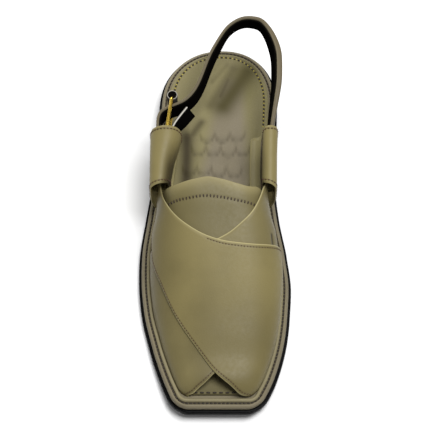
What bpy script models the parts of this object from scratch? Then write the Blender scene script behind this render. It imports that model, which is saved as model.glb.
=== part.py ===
"""Peshawari chappal, the right shoe: two crossed leather bands over a broad square-toed sole.

Metres, +Z up. The origin lies on the floor under the heel, the toe points to -Y,
and +X is the inner side of the foot. Most places are given by "along", the distance
from the back of the welt towards the toe, and by "turn", the angle round the foot
in degrees from the crown of the last: minus to the outer side, plus to the inner.
"""
import bmesh
import bpy
import numpy as np

# Driving sizes of the sole
WELT_LENGTH = 0.290
WELT_WIDTH = 0.1076
HEEL_BACK = 0.034
HEEL_ROUND = 0.045
HEEL_FULLNESS = 2.2
TOE_CORNER = 0.009
HEEL_LIFT = 0.012
HEEL_BREAST = 0.066
TOE_SPRING = 0.006
OUTSOLE_THICK = 0.0065
MIDSOLE_THICK = 0.0055
INSOLE_THICK = 0.0025
OUTSOLE_STANDS_OUT = 0.0020
WELT_LIP = 0.0038
HEEL_DRAWS_IN = 0.0016
INSOLE_MARGIN = 0.0098
SHARPEST_CORNER = 0.003
GAP = 0.0003

# Driving sizes of the upper
INSTEP_HEIGHT = 0.061
UPPER_WALL = 0.0022
LAP = 0.0014
TONGUE_WALL = 0.0015
TONGUE_CLEAR = 0.0006
QUARTER_WALL = 0.0018
FOOT_INSET = 0.0068
FOOT_CORNER = 0.015
TOE_ROUND = 0.016
RAND_START = 0.070
RAND_INSET = 0.0050
RAND_WIDTH = 0.0023
RAND_HEIGHT = 0.0023

# Driving sizes of the strap and the buckle
STRAP_WIDTH = 0.015
STRAP_THICK = 0.0030
STRAP_ROUNDING = 0.0009
LINING_THICK = 0.0014
CUT_ROUNDING = 0.0004
TAIL_THICK = 0.0022
TAIL_WIDTH = 0.015
BUCKLE_WIRE = 0.0026
BUCKLE_HEIGHT = 0.0186
BUCKLE_CORNER = 0.003
ROLLER_RADIUS = 0.0034
PRONG_WIRE = 0.0018
PRONG_LENGTH = 0.0119

STATIONS = 30

# Outline of the welt: along as a share of its length, middle line and half width
# as shares of half the ball width
OUTLINE = np.array([
    (0.000, 0.100, 0.766),
    (0.090, 0.061, 0.781),
    (0.172, 0.046, 0.800),
    (0.293, 0.014, 0.804),
    (0.397, -0.023, 0.832),
    (0.483, -0.035, 0.892),
    (0.583, -0.023, 0.976),
    (0.662, 0.000, 1.000),
    (0.738, 0.011, 0.970),
    (0.831, 0.037, 0.880),
    (0.921, 0.045, 0.735),
    (1.000, 0.034, 0.548)])

# Underside of the outsole: along, share of the heel lift, share of the toe spring
PROFILE = np.array([
    (0.000, 1.00, 0.00),
    (0.235, 1.00, 0.00),
    (0.320, 0.74, 0.00),
    (0.420, 0.31, 0.00),
    (0.500, 0.07, 0.00),
    (0.560, 0.00, 0.00),
    (0.770, 0.00, 0.00),
    (0.880, 0.00, 0.27),
    (1.000, 0.00, 1.00)])

# Side of the outsole: share of how far it stands past the welt, share of its thickness
OUTSOLE_EDGE = np.array([
    (0.10, 0.00),
    (0.75, 0.08),
    (1.00, 0.26),
    (1.00, 0.62),
    (0.65, 0.68),
    (0.65, 0.76),
    (1.00, 0.82),
    (0.85, 1.00)])

# Side of the midsole: share of the welt's lip, share of its thickness, with the stitch groove
MIDSOLE_EDGE = np.array([
    (0.26, 0.00),
    (0.00, 0.22),
    (0.00, 0.62),
    (0.16, 0.88),
    (0.42, 1.00),
    (0.61, 1.00),
    (0.71, 0.86),
    (0.89, 0.86),
    (1.00, 1.00)])

# Side of the heel: share of how far it draws in at the floor, share of the lift
HEEL_EDGE = np.array([
    (1.00, 0.00),
    (0.50, 0.07),
    (0.00, 0.50),
    (-0.62, 1.00)])

# Insole: along as a share of the welt's length, share of its inset beside the bands
INSOLE_INSET = np.array([
    (0, 0.510),
    (0.17, 0.510),
    (0.29, 1.000),
    (0.9, 1.000),
    (1, 1.204)])

# The last: along, crown height as a share of the instep, squareness of the section,
# shift of the crown to the inner side and flare of the walls as shares of half the ball
# width, inset of the foot of the wall as a share of its inset at the toe
LAST = np.array([
    (0.28, 1.36, 5, 0.000, 0.093, 1.309),
    (0.43, 1.06, 5, 0.019, 0.074, 1.309),
    (0.46, 1, 3.8, 0.037, 0.063, 1.309),
    (0.52, 0.93, 3.1, 0.074, 0.048, 1.250),
    (0.57, 0.85, 2.9, 0.112, 0.041, 1.029),
    (0.62, 0.77, 2.7, 0.149, 0.037, 1.000),
    (0.69, 0.65, 2.5, 0.167, 0.037, 1.000),
    (0.76, 0.525, 2.4, 0.167, 0.037, 1.000),
    (0.83, 0.405, 2.3, 0.149, 0.033, 1.000),
    (0.9, 0.275, 2.3, 0.093, 0.022, 1.000),
    (0.98, 0.21, 2.3, 0.037, 0.009, 1.000)])

# Under band, from its foot on the outer side to its tail in the inner loop:
# front edge along and turn, rear edge along and turn, share of the lap it is raised by
UNDER_BAND = np.array([
    (0.973, -90, 0.580, -90, 0),
    (0.9705, -51, 0.607, -64, 0),
    (0.951, -25, 0.624, -40, 0),
    (0.925, -11, 0.626, -19, 0),
    (0.880, 8, 0.606, 1, 0),
    (0.807, 28, 0.575, 17, 0),
    (0.707, 48, 0.541, 31, 0),
    (0.630, 64, 0.507, 41, 0),
    (0.560, 67, 0.476, 48, 0),
    (0.490, 64, 0.452, 54, 0.5),
    (0.407, 63, 0.400, 56, 0.6)])

# Top band, from its foot on the inner side to its tail in the outer loop, same columns
TOP_BAND = np.array([
    (0.973, 90, 0.580, 90, 0),
    (0.9715, 38, 0.607, 60, 1),
    (0.950, 7, 0.626, 24, 1),
    (0.925, -11, 0.622, 3, 1),
    (0.880, -25, 0.607, -14, 1),
    (0.807, -41, 0.578, -27, 1),
    (0.706, -51, 0.542, -38, 1),
    (0.632, -56, 0.504, -47, 0.8),
    (0.552, -60, 0.472, -53, 0.2),
    (0.483, -63, 0.448, -55, 0.3),
    (0.407, -64, 0.400, -56, 0.8)])

# Tongue: turn, rear edge along, front edge along
TONGUE = np.array([
    (-66, 0.478, 0.600),
    (-51, 0.478, 0.640),
    (-39, 0.482, 0.670),
    (-19, 0.474, 0.700),
    (-7, 0.469, 0.706),
    (5, 0.474, 0.706),
    (20, 0.484, 0.700),
    (30, 0.488, 0.680),
    (43, 0.482, 0.640),
    (66, 0.478, 0.600)])

# Loops at the tops of the quarters: along, lowest and highest point of the hollow as
# shares of the instep, then how far out its wall stands and its breadth as shares of
# half the ball width, on the outer side and on the inner side
LOOP = np.array([
    (0.3, 0.820, 1.205, 0.840, 0.372, 0.818, 0.134),
    (0.34, 0.800, 1.177, 0.844, 0.353, 0.814, 0.134),
    (0.4, 0.754, 1.123, 0.846, 0.260, 0.803, 0.134),
    (0.48, 0.689, 1.057, 0.846, 0.186, 0.796, 0.138)])

# Ends of the quarter: place round it from the foot of the wall to the end of the roll,
# rear edge and front edge along
QUARTER = np.array([
    (0.00, 0.280, 0.516),
    (0.20, 0.290, 0.498),
    (0.33, 0.314, 0.484),
    (0.50, 0.324, 0.478),
    (0.62, 0.324, 0.470),
    (0.80, 0.332, 0.456),
    (1.00, 0.332, 0.456)])

# Heel strap: top outer edge across, along and up as shares of half the ball width, the
# welt's length and the instep, then its lean in degrees
STRAP = np.array([
    (-0.790, 0.372, 1.074, 0),
    (-0.799, 0.334, 1.102, 0),
    (-0.803, 0.298, 1.111, 0),
    (-0.771, 0.271, 1.115, 0),
    (-0.632, 0.253, 1.120, 0),
    (-0.457, 0.240, 1.126, 2),
    (-0.318, 0.216, 1.156, 4),
    (-0.223, 0.182, 1.187, 4),
    (-0.112, 0.123, 1.223, 4),
    (0.019, 0.077, 1.249, 4),
    (0.186, 0.033, 1.274, 4),
    (0.418, 0.012, 1.289, 5),
    (0.619, 0.016, 1.292, 8),
    (0.762, 0.039, 1.287, 11),
    (0.874, 0.078, 1.279, 13),
    (0.933, 0.124, 1.256, 13),
    (0.929, 0.183, 1.216, 11),
    (0.885, 0.234, 1.174, 7),
    (0.833, 0.283, 1.131, 3),
    (0.796, 0.331, 1.102, 0),
    (0.784, 0.372, 1.066, 0)])

# Free end of the strap inside the outer loop, same columns
TAIL = np.array([
    (-0.584, 0.359, 1.108, 0),
    (-0.584, 0.333, 1.115, 4),
    (-0.546, 0.312, 1.125, 12),
    (-0.465, 0.288, 1.134, 17),
    (-0.372, 0.264, 1.141, 18)])

# Buckle frame: across, along and up of the middles of its front bar and its rear bar
BUCKLE_FRONT = (-0.654, 0.328, 0.998)
BUCKLE_REAR = (-0.587, 0.234, 0.998)


def smooth(table, column, share):
    """One column of a table at the given shares of its first, by a cubic that never overshoots."""
    spots, values = table[:, 0], table[:, column]
    widths = np.diff(spots)
    slopes = np.diff(values) / widths
    tangents = np.zeros(len(values))
    near, far = 2 * widths[1:] + widths[:-1], widths[1:] + 2 * widths[:-1]
    same_way = slopes[1:] * slopes[:-1] > 0
    before = np.where(same_way, slopes[:-1], 1.0)
    after = np.where(same_way, slopes[1:], 1.0)
    tangents[1:-1] = np.where(same_way, (near + far) / (near / before + far / after), 0.0)
    tangents[0], tangents[-1] = slopes[0], slopes[-1]
    share = np.clip(share, spots[0], spots[-1])
    k = np.clip(np.searchsorted(spots, share, side="right") - 1, 0, len(spots) - 2)
    t = (share - spots[k]) / widths[k]
    ahead = 3 * t ** 2 - 2 * t ** 3
    return ((1 - ahead) * values[k] + ahead * values[k + 1]
            + (t ** 3 - 2 * t ** 2 + t) * widths[k] * tangents[k]
            + (t ** 3 - t ** 2) * widths[k] * tangents[k + 1])


def through(rows, count):
    """Points on a smooth curve through the rows of a table, spread evenly row by row."""
    rows = np.asarray(rows, float)
    numbered = np.column_stack([np.arange(len(rows)), rows])
    places = np.linspace(0, len(rows) - 1, count)
    return np.column_stack([smooth(numbered, c + 1, places) for c in range(rows.shape[1])])


def half_width(along, inset=0.0, corner=TOE_CORNER):
    """Half the width of the welt's outline, drawn in by the inset: round heel, square toe."""
    share = along / WELT_LENGTH
    step = 0.01
    half = 0.5 * WELT_WIDTH
    rise = smooth(OUTLINE, 2, share + step) - smooth(OUTLINE, 2, share - step)
    slant = half * rise / (2 * step * WELT_LENGTH)
    wide = half * smooth(OUTLINE, 2, share) - inset * np.sqrt(1 + slant ** 2)
    back = np.clip((along - inset) / (HEEL_ROUND - inset), 0, 1)
    wide = wide * (1 - (1 - back) ** HEEL_FULLNESS) ** (1 / HEEL_FULLNESS)
    radius = np.maximum(corner - inset, SHARPEST_CORNER)
    front = np.clip(WELT_LENGTH - inset - along, 0, radius)
    return wide - radius + np.sqrt(radius ** 2 - (radius - front) ** 2)


def middle(along):
    """Middle line of the outline, which swings outwards at the waist."""
    return 0.5 * WELT_WIDTH * smooth(OUTLINE, 1, along / WELT_LENGTH)


def sole_bottom(along):
    """Height of the outsole's underside: lifted heel, flat ball, toe spring."""
    share = along / WELT_LENGTH
    return HEEL_LIFT * smooth(PROFILE, 1, share) + TOE_SPRING * smooth(PROFILE, 2, share)


def midsole_bottom(along):
    return sole_bottom(along) + OUTSOLE_THICK + GAP


def welt_top(along):
    return midsole_bottom(along) + MIDSOLE_THICK


def place(x, along, z):
    """World positions from across, along and up."""
    x, along, z = np.broadcast_arrays(x, along, z)
    return np.stack([x, HEEL_BACK - along, z], axis=-1)


def sized(shares):
    """World positions from shares of half the ball width, the welt's length and the instep."""
    shares = np.asarray(shares)
    return place(0.5 * WELT_WIDTH * shares[..., 0], WELT_LENGTH * shares[..., 1], INSTEP_HEIGHT * shares[..., 2])


def last_section(along):
    """Size of the last's section at each place along: half width, crown height and shape."""
    share = along / WELT_LENGTH
    half = 0.5 * WELT_WIDTH
    end = WELT_LENGTH - FOOT_INSET
    into = np.clip((along - end + TOE_ROUND) / TOE_ROUND, 0, 1)
    tall = INSTEP_HEIGHT * smooth(LAST, 1, share) * np.sqrt(1 - into ** 2)
    wide = half_width(along, FOOT_INSET * smooth(LAST, 5, share), FOOT_CORNER)
    return wide, tall, smooth(LAST, 2, share), half * smooth(LAST, 3, share), half * smooth(LAST, 4, share)


def last_point(along, turn):
    """Points of the last: a squared ellipse in each section, flared and with its ridge inwards."""
    wide, tall, square, ridge, flare = last_section(along)
    angle = np.radians(turn)
    reach = (np.abs(np.sin(angle)) ** square + np.abs(np.cos(angle)) ** square) ** (-1 / square)
    x = middle(along) + wide * np.sin(angle) * reach
    x = x + flare * np.sin(2 * angle) + ridge * np.cos(angle) ** 2
    return place(x, along, welt_top(along) + GAP + tall * np.cos(angle) * reach)


def off_last(along, turn, lift):
    """Points at a distance from the last along its normals, outwards where the lift is positive."""
    step, bit = 0.0005, 0.5
    ahead = last_point(along + step, turn) - last_point(along - step, turn)
    across = last_point(along, turn + bit) - last_point(along, turn - bit)
    normal = np.cross(ahead, across)
    normal /= np.linalg.norm(normal, axis=-1)[..., None]
    return last_point(along, turn) + normal * np.asarray(lift)[..., None]


def material(name, colour, roughness, metallic=0.0):
    made = bpy.data.materials.new(name)
    made.use_nodes = True
    shader = made.node_tree.nodes["Principled BSDF"]
    shader.inputs["Base Color"].default_value = (*colour, 1.0)
    shader.inputs["Roughness"].default_value = roughness
    shader.inputs["Metallic"].default_value = metallic
    return made


def add_object(name, points, faces, finish, group, closed=True):
    """A smooth-shaded object from points and faces; a closed one has its faces turned outwards."""
    mesh = bpy.data.meshes.new(name)
    mesh.from_pydata([tuple(p) for p in np.reshape(points, (-1, 3))], [], faces)
    work = bmesh.new()
    work.from_mesh(mesh)
    bmesh.ops.remove_doubles(work, verts=work.verts, dist=1e-6)
    if closed:
        bmesh.ops.recalc_face_normals(work, faces=work.faces)
    work.to_mesh(mesh)
    work.free()
    mesh.shade_smooth()
    mesh.set_sharp_from_angle(angle=np.radians(35))
    mesh.materials.append(finish)
    made = bpy.data.objects.new(name, mesh)
    group.objects.link(made)
    return made


def grid_faces(rows, columns, flip=False):
    """Quads of a grid of points stored row by row."""
    faces = []
    for r in range(rows - 1):
        for c in range(columns - 1):
            a = r * columns + c
            quad = (a, a + 1, a + columns + 1, a + columns)
            faces.append(quad[::-1] if flip else quad)
    return faces


def ring(inset, height, bottom, start=0.0, stop=WELT_LENGTH):
    """One line round the sole: the heel's middle, the outer side, then the inner side back."""
    spread = 0.5 - 0.5 * np.cos(np.linspace(0, np.pi, STATIONS))
    first = start + (inset if start == 0 else 0)
    last = stop - (inset if stop == WELT_LENGTH else 0)
    along = first + (last - first) * spread
    wide = half_width(along, inset)
    z = bottom(np.clip(along, 0, WELT_LENGTH)) + height
    outer = place(middle(along) - wide, along, z)
    inner = place(middle(along) + wide, along, z)
    return np.concatenate([outer, inner[::-1]])


def stack(name, rings, finish, group):
    """A solid from rings of equal count: a ladder of quads on each end and walls between."""
    count = len(rings[0])
    half = count // 2
    faces = []
    for base in (0, (len(rings) - 1) * count):
        for k in range(half - 1):
            faces.append((base + k, base + k + 1, base + count - 2 - k, base + count - 1 - k))
    for level in range(len(rings) - 1):
        low, high = level * count, (level + 1) * count
        for k in range(count):
            after = (k + 1) % count
            faces.append((low + k, low + after, high + after, high + k))
    return add_object(name, np.concatenate(rings), faces, finish, group)


def sweep(name, path, sides, ups, section, finish, group):
    """A closed section carried along a path, with flat ends; section columns are side and up."""
    section = np.asarray(section)
    points = (path[:, None] + sides[:, None] * section[None, :, :1] + ups[:, None] * section[None, :, 1:])
    count = len(section)
    faces = [tuple(range(count)), tuple((len(path) - 1) * count + k for k in range(count))]
    for step in range(len(path) - 1):
        for k in range(count):
            after = (k + 1) % count
            low = step * count
            faces.append((low + k, low + after, low + count + after, low + count + k))
    return add_object(name, points, faces, finish, group)


def build_sole(black, khaki, group):
    """Outsole, stacked heel, midsole with its stitched lip, and insole."""
    rings = [ring(-out, up, sole_bottom) for out, up in OUTSOLE_EDGE * (OUTSOLE_STANDS_OUT, OUTSOLE_THICK)]
    stack("outsole", rings, black, group)
    edge = HEEL_EDGE * (HEEL_DRAWS_IN, HEEL_LIFT - GAP)
    rings = [ring(inset, up, np.zeros_like, stop=HEEL_BREAST) for inset, up in edge]
    stack("heel", rings, black, group)
    rings = [ring(inset, up, midsole_bottom) for inset, up in MIDSOLE_EDGE * (WELT_LIP, MIDSOLE_THICK)]
    stack("midsole", rings, khaki, group)
    stack("insole", insole_rings(), khaki, group)


def insole_rings():
    """The insole's rings: its edge is drawn in where the quarters and bands stand round it."""
    spread = 0.5 - 0.5 * np.cos(np.linspace(0, np.pi, STATIONS))
    back, front = INSOLE_MARGIN * INSOLE_INSET[0, 1], INSOLE_MARGIN * INSOLE_INSET[-1, 1]
    rings = []
    for draw_in, share in ((0.0, 0.0), (0.0, 0.6), (0.0008, 1.0)):
        first, last = back + draw_in, WELT_LENGTH - front - draw_in
        along = first + (last - first) * spread
        margin = INSOLE_MARGIN * smooth(INSOLE_INSET, 1, along / WELT_LENGTH)
        wide = half_width(along, margin + draw_in, FOOT_CORNER)
        z = welt_top(along) + GAP + share * INSOLE_THICK
        outer = place(middle(along) - wide, along, z)
        inner = place(middle(along) + wide, along, z)
        rings.append(np.concatenate([outer, inner[::-1]]))
    return rings


def build_rand(khaki, group):
    """The raised bead on the welt, from one quarter round the toe to the other."""
    spread = np.sin(0.5 * np.pi * np.linspace(0, 1, STATIONS))
    along = RAND_START + (WELT_LENGTH - RAND_INSET - RAND_START) * spread
    half = half_width(along, RAND_INSET)
    along = np.concatenate([along, along[::-1]])
    x = np.concatenate([middle(along[:STATIONS]) - half, middle(along[STATIONS:]) + half[::-1]])
    path = place(x, along, welt_top(along) + GAP)
    ahead = np.gradient(path, axis=0)
    sides = np.cross(ahead, (0, 0, 1))
    sides /= np.linalg.norm(sides, axis=1)[:, None]
    ups = np.tile((0.0, 0.0, 1.0), (len(path), 1))
    outline = np.array([(-0.5, 0), (-0.42, 0.6), (-0.18, 1), (0.18, 1), (0.42, 0.6), (0.5, 0)])
    sweep("rand", path, sides, ups, outline * (RAND_WIDTH, RAND_HEIGHT), khaki, group)


def band_surface(name, table, finish, group, flip):
    """A crossed band as an open sheet on the last, closer spaced towards its front edge."""
    long_way, short_way = 34, 15
    rows = through(table, long_way)
    near_front = (1 - (1 - np.linspace(0, 1, short_way)) ** 1.5)[None, :]
    along = WELT_LENGTH * (rows[:, 2:3] + (rows[:, 0:1] - rows[:, 2:3]) * near_front)
    turn = rows[:, 3:4] + (rows[:, 1:2] - rows[:, 3:4]) * near_front
    points = off_last(along, turn, LAP * rows[:, 4:5] + 0 * along)
    made = add_object(name, points, grid_faces(long_way, short_way, flip), finish, group, closed=False)
    thicken(made, UPPER_WALL, -1)
    made.modifiers.new("flat_faces", "TRIANGULATE")
    return made


def thicken(made, wall, way):
    """Give a sheet its wall, inwards for -1 and outwards for 1."""
    solid = made.modifiers.new("wall", "SOLIDIFY")
    solid.thickness = wall
    solid.offset = way
    solid.use_even_offset = True


def build_upper(khaki, group, cutters):
    """The two bands, joined where the top band laps the under band."""
    upper = band_surface("upper", UNDER_BAND, khaki, group, flip=False)
    top = band_surface("top_band", TOP_BAND, khaki, cutters, flip=True)
    top.hide_render = True
    top.display_type = "WIRE"
    join = upper.modifiers.new("crossing", "BOOLEAN")
    join.operation = "UNION"
    join.object = top


def build_tongue(khaki, group):
    """The tongue under both bands, over the instep from one loop to the other."""
    long_way, short_way = 24, 7
    turn = np.linspace(TONGUE[0, 0], TONGUE[-1, 0], long_way)[:, None]
    forward = np.linspace(0, 1, short_way)[None, :]
    rear, front = smooth(TONGUE, 1, turn), smooth(TONGUE, 2, turn)
    along = WELT_LENGTH * (rear + (front - rear) * forward)
    points = off_last(along, turn + 0 * forward, -UPPER_WALL - TONGUE_CLEAR)
    made = add_object("tongue", points, grid_faces(long_way, short_way), khaki, group, closed=False)
    thicken(made, TONGUE_WALL, -1)


def quarter_point(along, place_round, side):
    """The quarter's hollow side: up the wall, over the loop's top, down and back under it."""
    share = along / WELT_LENGTH
    low, high = INSTEP_HEIGHT * smooth(LOOP, 1, share), INSTEP_HEIGHT * smooth(LOOP, 2, share)
    columns = (3, 4) if side < 0 else (5, 6)
    top, breadth = (0.5 * WELT_WIDTH * smooth(LOOP, column, share) for column in columns)
    radius = 0.5 * breadth
    base = welt_top(along) + GAP
    foot = last_point(along, 90 * side)[..., 0] + side * GAP
    rise = np.clip(place_round / 0.5, 0, 1)
    over = np.clip((place_round - 0.5) / 0.2, 0, 1)
    down = np.clip((place_round - 0.7) / 0.12, 0, 1)
    under = np.clip((place_round - 0.82) / 0.18, 0, 1)
    angle = np.pi * over + 0.80 * np.pi * under
    tall = high - radius - base
    flare = 0.5 - 0.5 * np.cos(np.pi * np.clip(rise * tall / (low - base), 0, 1))
    x = foot + (side * top - foot) * flare - side * radius * (1 - np.cos(angle))
    z = base + rise * tall + radius * np.sin(angle) - (high - low - breadth) * down
    return place(x, along, z)


def build_quarter(name, side, khaki, group):
    """A quarter: a panel from the sole whose top is rolled over into a loop for strap and band."""
    long_way, short_way = 28, 8
    place_round = np.linspace(0, 1, long_way)[:, None]
    forward = np.linspace(0, 1, short_way)[None, :]
    rear, front = smooth(QUARTER, 1, place_round), smooth(QUARTER, 2, place_round)
    along = WELT_LENGTH * (rear + (front - rear) * forward)
    points = quarter_point(along, place_round + 0 * forward, side)
    faces = grid_faces(long_way, short_way, flip=side > 0)
    made = add_object(name, points, faces, khaki, group, closed=False)
    thicken(made, QUARTER_WALL, 1)


def strap_frames(table, count):
    """Path, outward side and up vector of a strap that stands on edge and leans."""
    rows = through(table, count)
    path = sized(rows)
    ahead = np.gradient(path, axis=0)
    level = np.cross((0, 0, 1), ahead)
    level /= np.linalg.norm(level, axis=1)[:, None]
    lean = np.radians(rows[:, 3])[:, None]
    ups = np.cos(lean) * np.array((0.0, 0.0, 1.0)) + np.sin(lean) * level
    sides = np.cos(lean) * level - np.sin(lean) * np.array((0.0, 0.0, 1.0))
    return path, sides, ups


def flat_section(outer, inner, wide, rounding):
    """A strap's section below its top outer edge, from an outer to an inner depth."""
    edge = min(rounding, 0.45 * (inner - outer))
    return [(-outer - edge, 0), (-outer, -edge), (-outer, -wide + edge), (-outer - edge, -wide),
            (-inner + edge, -wide), (-inner, -wide + edge), (-inner, -edge), (-inner + edge, 0)]


def build_strap(khaki, black, group):
    """The heel strap from loop to loop, its lining, and its free end in the outer loop."""
    path, sides, ups = strap_frames(STRAP, 48)
    section = flat_section(0, STRAP_THICK, STRAP_WIDTH, STRAP_ROUNDING)
    sweep("heel_strap", path, sides, ups, section, khaki, group)
    depth = STRAP_THICK + GAP
    section = flat_section(depth, depth + LINING_THICK, STRAP_WIDTH, CUT_ROUNDING)
    sweep("heel_strap_lining", path, sides, ups, section, black, group)
    path, sides, ups = strap_frames(TAIL, 14)
    section = flat_section(0, TAIL_THICK, TAIL_WIDTH, CUT_ROUNDING)
    sweep("strap_tail", path, -sides, ups, section, black, group)


def tube(name, points, radius, cyclic, finish, group):
    """A round wire along a polyline, made a mesh with its caps welded."""
    curve = bpy.data.curves.new(name, "CURVE")
    curve.dimensions = "3D"
    curve.bevel_depth = radius
    curve.bevel_resolution = 2
    curve.use_fill_caps = not cyclic
    spline = curve.splines.new("POLY")
    spline.points.add(len(points) - 1)
    for spot, point in zip(spline.points, points):
        spot.co = (*point, 1.0)
    spline.use_cyclic_u = cyclic
    wire = bpy.data.objects.new(name, curve)
    group.objects.link(wire)
    shape = bpy.data.meshes.new_from_object(wire.evaluated_get(bpy.context.evaluated_depsgraph_get()))
    bpy.data.objects.remove(wire)
    work = bmesh.new()
    work.from_mesh(shape)
    bmesh.ops.remove_doubles(work, verts=work.verts, dist=1e-5)
    bmesh.ops.recalc_face_normals(work, faces=work.faces)
    work.to_mesh(shape)
    work.free()
    shape.shade_smooth()
    shape.materials.clear()
    shape.materials.append(finish)
    group.objects.link(bpy.data.objects.new(name, shape))


def build_buckle(brass, black, group):
    """The buckle at the outer loop: a frame round the strap, a roller and a prong."""
    front, rear = sized(BUCKLE_FRONT), sized(BUCKLE_REAR)
    middle_point = 0.5 * (front + rear)
    length = np.linalg.norm(front - rear)
    ahead = (front - rear) / length
    half = np.array((0.5 * length, 0.5 * BUCKLE_HEIGHT))
    corners = []
    for turn in np.radians((0, 90, 180, 270)):
        for step in np.radians((0, 30, 60, 90)):
            bend = np.array((np.cos(turn + step), np.sin(turn + step)))
            hub = (half - BUCKLE_CORNER) * np.sign(np.array((np.cos(turn + 0.8), np.sin(turn + 0.8))))
            corners.append(hub + BUCKLE_CORNER * bend)
    points = [middle_point + ahead * a + np.array((0, 0, b)) for a, b in corners]
    tube("buckle_frame", points, 0.5 * BUCKLE_WIRE, True, brass, group)

    bore = 0.5 * BUCKLE_WIRE + GAP
    half_tall = 0.5 * BUCKLE_HEIGHT - BUCKLE_CORNER - GAP
    profile = [(ROLLER_RADIUS, half_tall), (ROLLER_RADIUS, -half_tall), (bore, -half_tall), (bore, half_tall)]
    turns = np.linspace(0, 2 * np.pi, 16, endpoint=False)
    shape = [rear + (r * np.cos(t), r * np.sin(t), z) for t in turns for r, z in profile]
    faces = []
    for k in range(len(turns)):
        for c in range(4):
            low, high = 4 * k, 4 * ((k + 1) % len(turns))
            faces.append((low + c, low + (c + 1) % 4, high + (c + 1) % 4, high + c))
    add_object("buckle_roller", shape, faces, black, group)

    start = front - ahead * (0.5 * BUCKLE_WIRE + GAP)
    tip = start - ahead * PRONG_LENGTH
    tube("buckle_prong", [start, 0.5 * (start + tip), tip], 0.5 * PRONG_WIRE, False, brass, group)


def main():
    for old in list(bpy.data.objects):
        bpy.data.objects.remove(old)
    group = bpy.data.collections.new("peshawari_chappal")
    cutters = bpy.data.collections.new("cutters")
    bpy.context.scene.collection.children.link(group)
    bpy.context.scene.collection.children.link(cutters)
    khaki = material("khaki_leather", (0.27, 0.235, 0.125), 0.5)
    welt = material("welt_leather", (0.29, 0.25, 0.14), 0.55)
    pad = material("insole_leather", (0.25, 0.22, 0.14), 0.6)
    rubber = material("black_rubber", (0.006, 0.006, 0.007), 0.45)
    lining = material("black_lining", (0.006, 0.006, 0.007), 0.6)
    brass = material("brass", (0.72, 0.52, 0.14), 0.28, 1.0)
    build_sole(rubber, welt, group)
    bpy.data.objects["insole"].data.materials[0] = pad
    build_rand(welt, group)
    build_upper(khaki, group, cutters)
    build_tongue(khaki, group)
    build_quarter("quarter_outer", -1, khaki, group)
    build_quarter("quarter_inner", 1, khaki, group)
    build_strap(khaki, lining, group)
    build_buckle(brass, lining, group)


main()
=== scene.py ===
"""Peshawari chappal, the right shoe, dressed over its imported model.

Metres, +Z up, the toe towards -Y and +X the inner side of the foot. Most places are given by
"along", the distance from the back of the welt towards the toe, and by "turn", the angle round
the foot in degrees from the crown of the last: minus to the outer side, plus to the inner.
"""
import bmesh
import bpy
import numpy as np
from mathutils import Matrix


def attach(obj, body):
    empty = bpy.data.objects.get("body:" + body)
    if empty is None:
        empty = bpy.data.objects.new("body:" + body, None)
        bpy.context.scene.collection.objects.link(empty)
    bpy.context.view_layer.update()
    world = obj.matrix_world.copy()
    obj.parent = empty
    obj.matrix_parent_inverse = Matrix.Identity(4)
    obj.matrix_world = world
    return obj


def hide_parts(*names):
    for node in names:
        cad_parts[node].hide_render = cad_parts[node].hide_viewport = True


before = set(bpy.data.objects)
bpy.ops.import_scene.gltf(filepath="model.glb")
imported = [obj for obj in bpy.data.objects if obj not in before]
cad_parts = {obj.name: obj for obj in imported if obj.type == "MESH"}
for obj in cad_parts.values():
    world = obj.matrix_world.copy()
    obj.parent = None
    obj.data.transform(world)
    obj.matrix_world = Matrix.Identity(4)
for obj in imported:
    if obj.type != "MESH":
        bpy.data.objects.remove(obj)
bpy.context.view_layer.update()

# Floor, lamps and camera: a pale floor under wide soft lamps, seen from in front of the toe
# and high above it.
CAMERA_RISE = np.radians(64)
CAMERA_DISTANCE = 1.25
CAMERA_AIM = np.array((0.0, -0.111, 0.030))
CAMERA_LENS = 142.3
CAMERA_REACH = 20
FLOOR_HALF = 3.0
FLOOR_SHADE = 0.80
SKY_LIGHT = 0.30

# Lamps: place, aim, size and watts
LAMPS = {"key_lamp": ((0.32, -0.16, 1.56), (0, -0.1, 0), 0.7, 30),
         "side_lamp": ((-0.40, 1.08, 0.70), (0, -0.05, 0), 0.35, 10)}


class Number:
    """A number read in a material, so that sums are written as in Python and add Math nodes."""

    def __init__(self, finish, socket):
        self.finish, self.socket = finish, socket

    def math(self, operation, *values):
        made = self.finish.node("ShaderNodeMath", {"operation": operation}, dict(enumerate(values)))
        return Number(self.finish, made.outputs[0])

    def __add__(self, other):
        return self.math("ADD", self, other)

    def __mul__(self, other):
        return self.math("MULTIPLY", self, other)

    __radd__ = __add__
    __rmul__ = __mul__

    def ramp(self, low, high):
        """0 up to the low value, 1 from the high value, and smooth between."""
        made = self.finish.node("ShaderNodeMapRange", {"interpolation_type": "SMOOTHSTEP"},
                                {"Value": self, "From Min": low, "From Max": high})
        return Number(self.finish, made.outputs["Result"])


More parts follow.
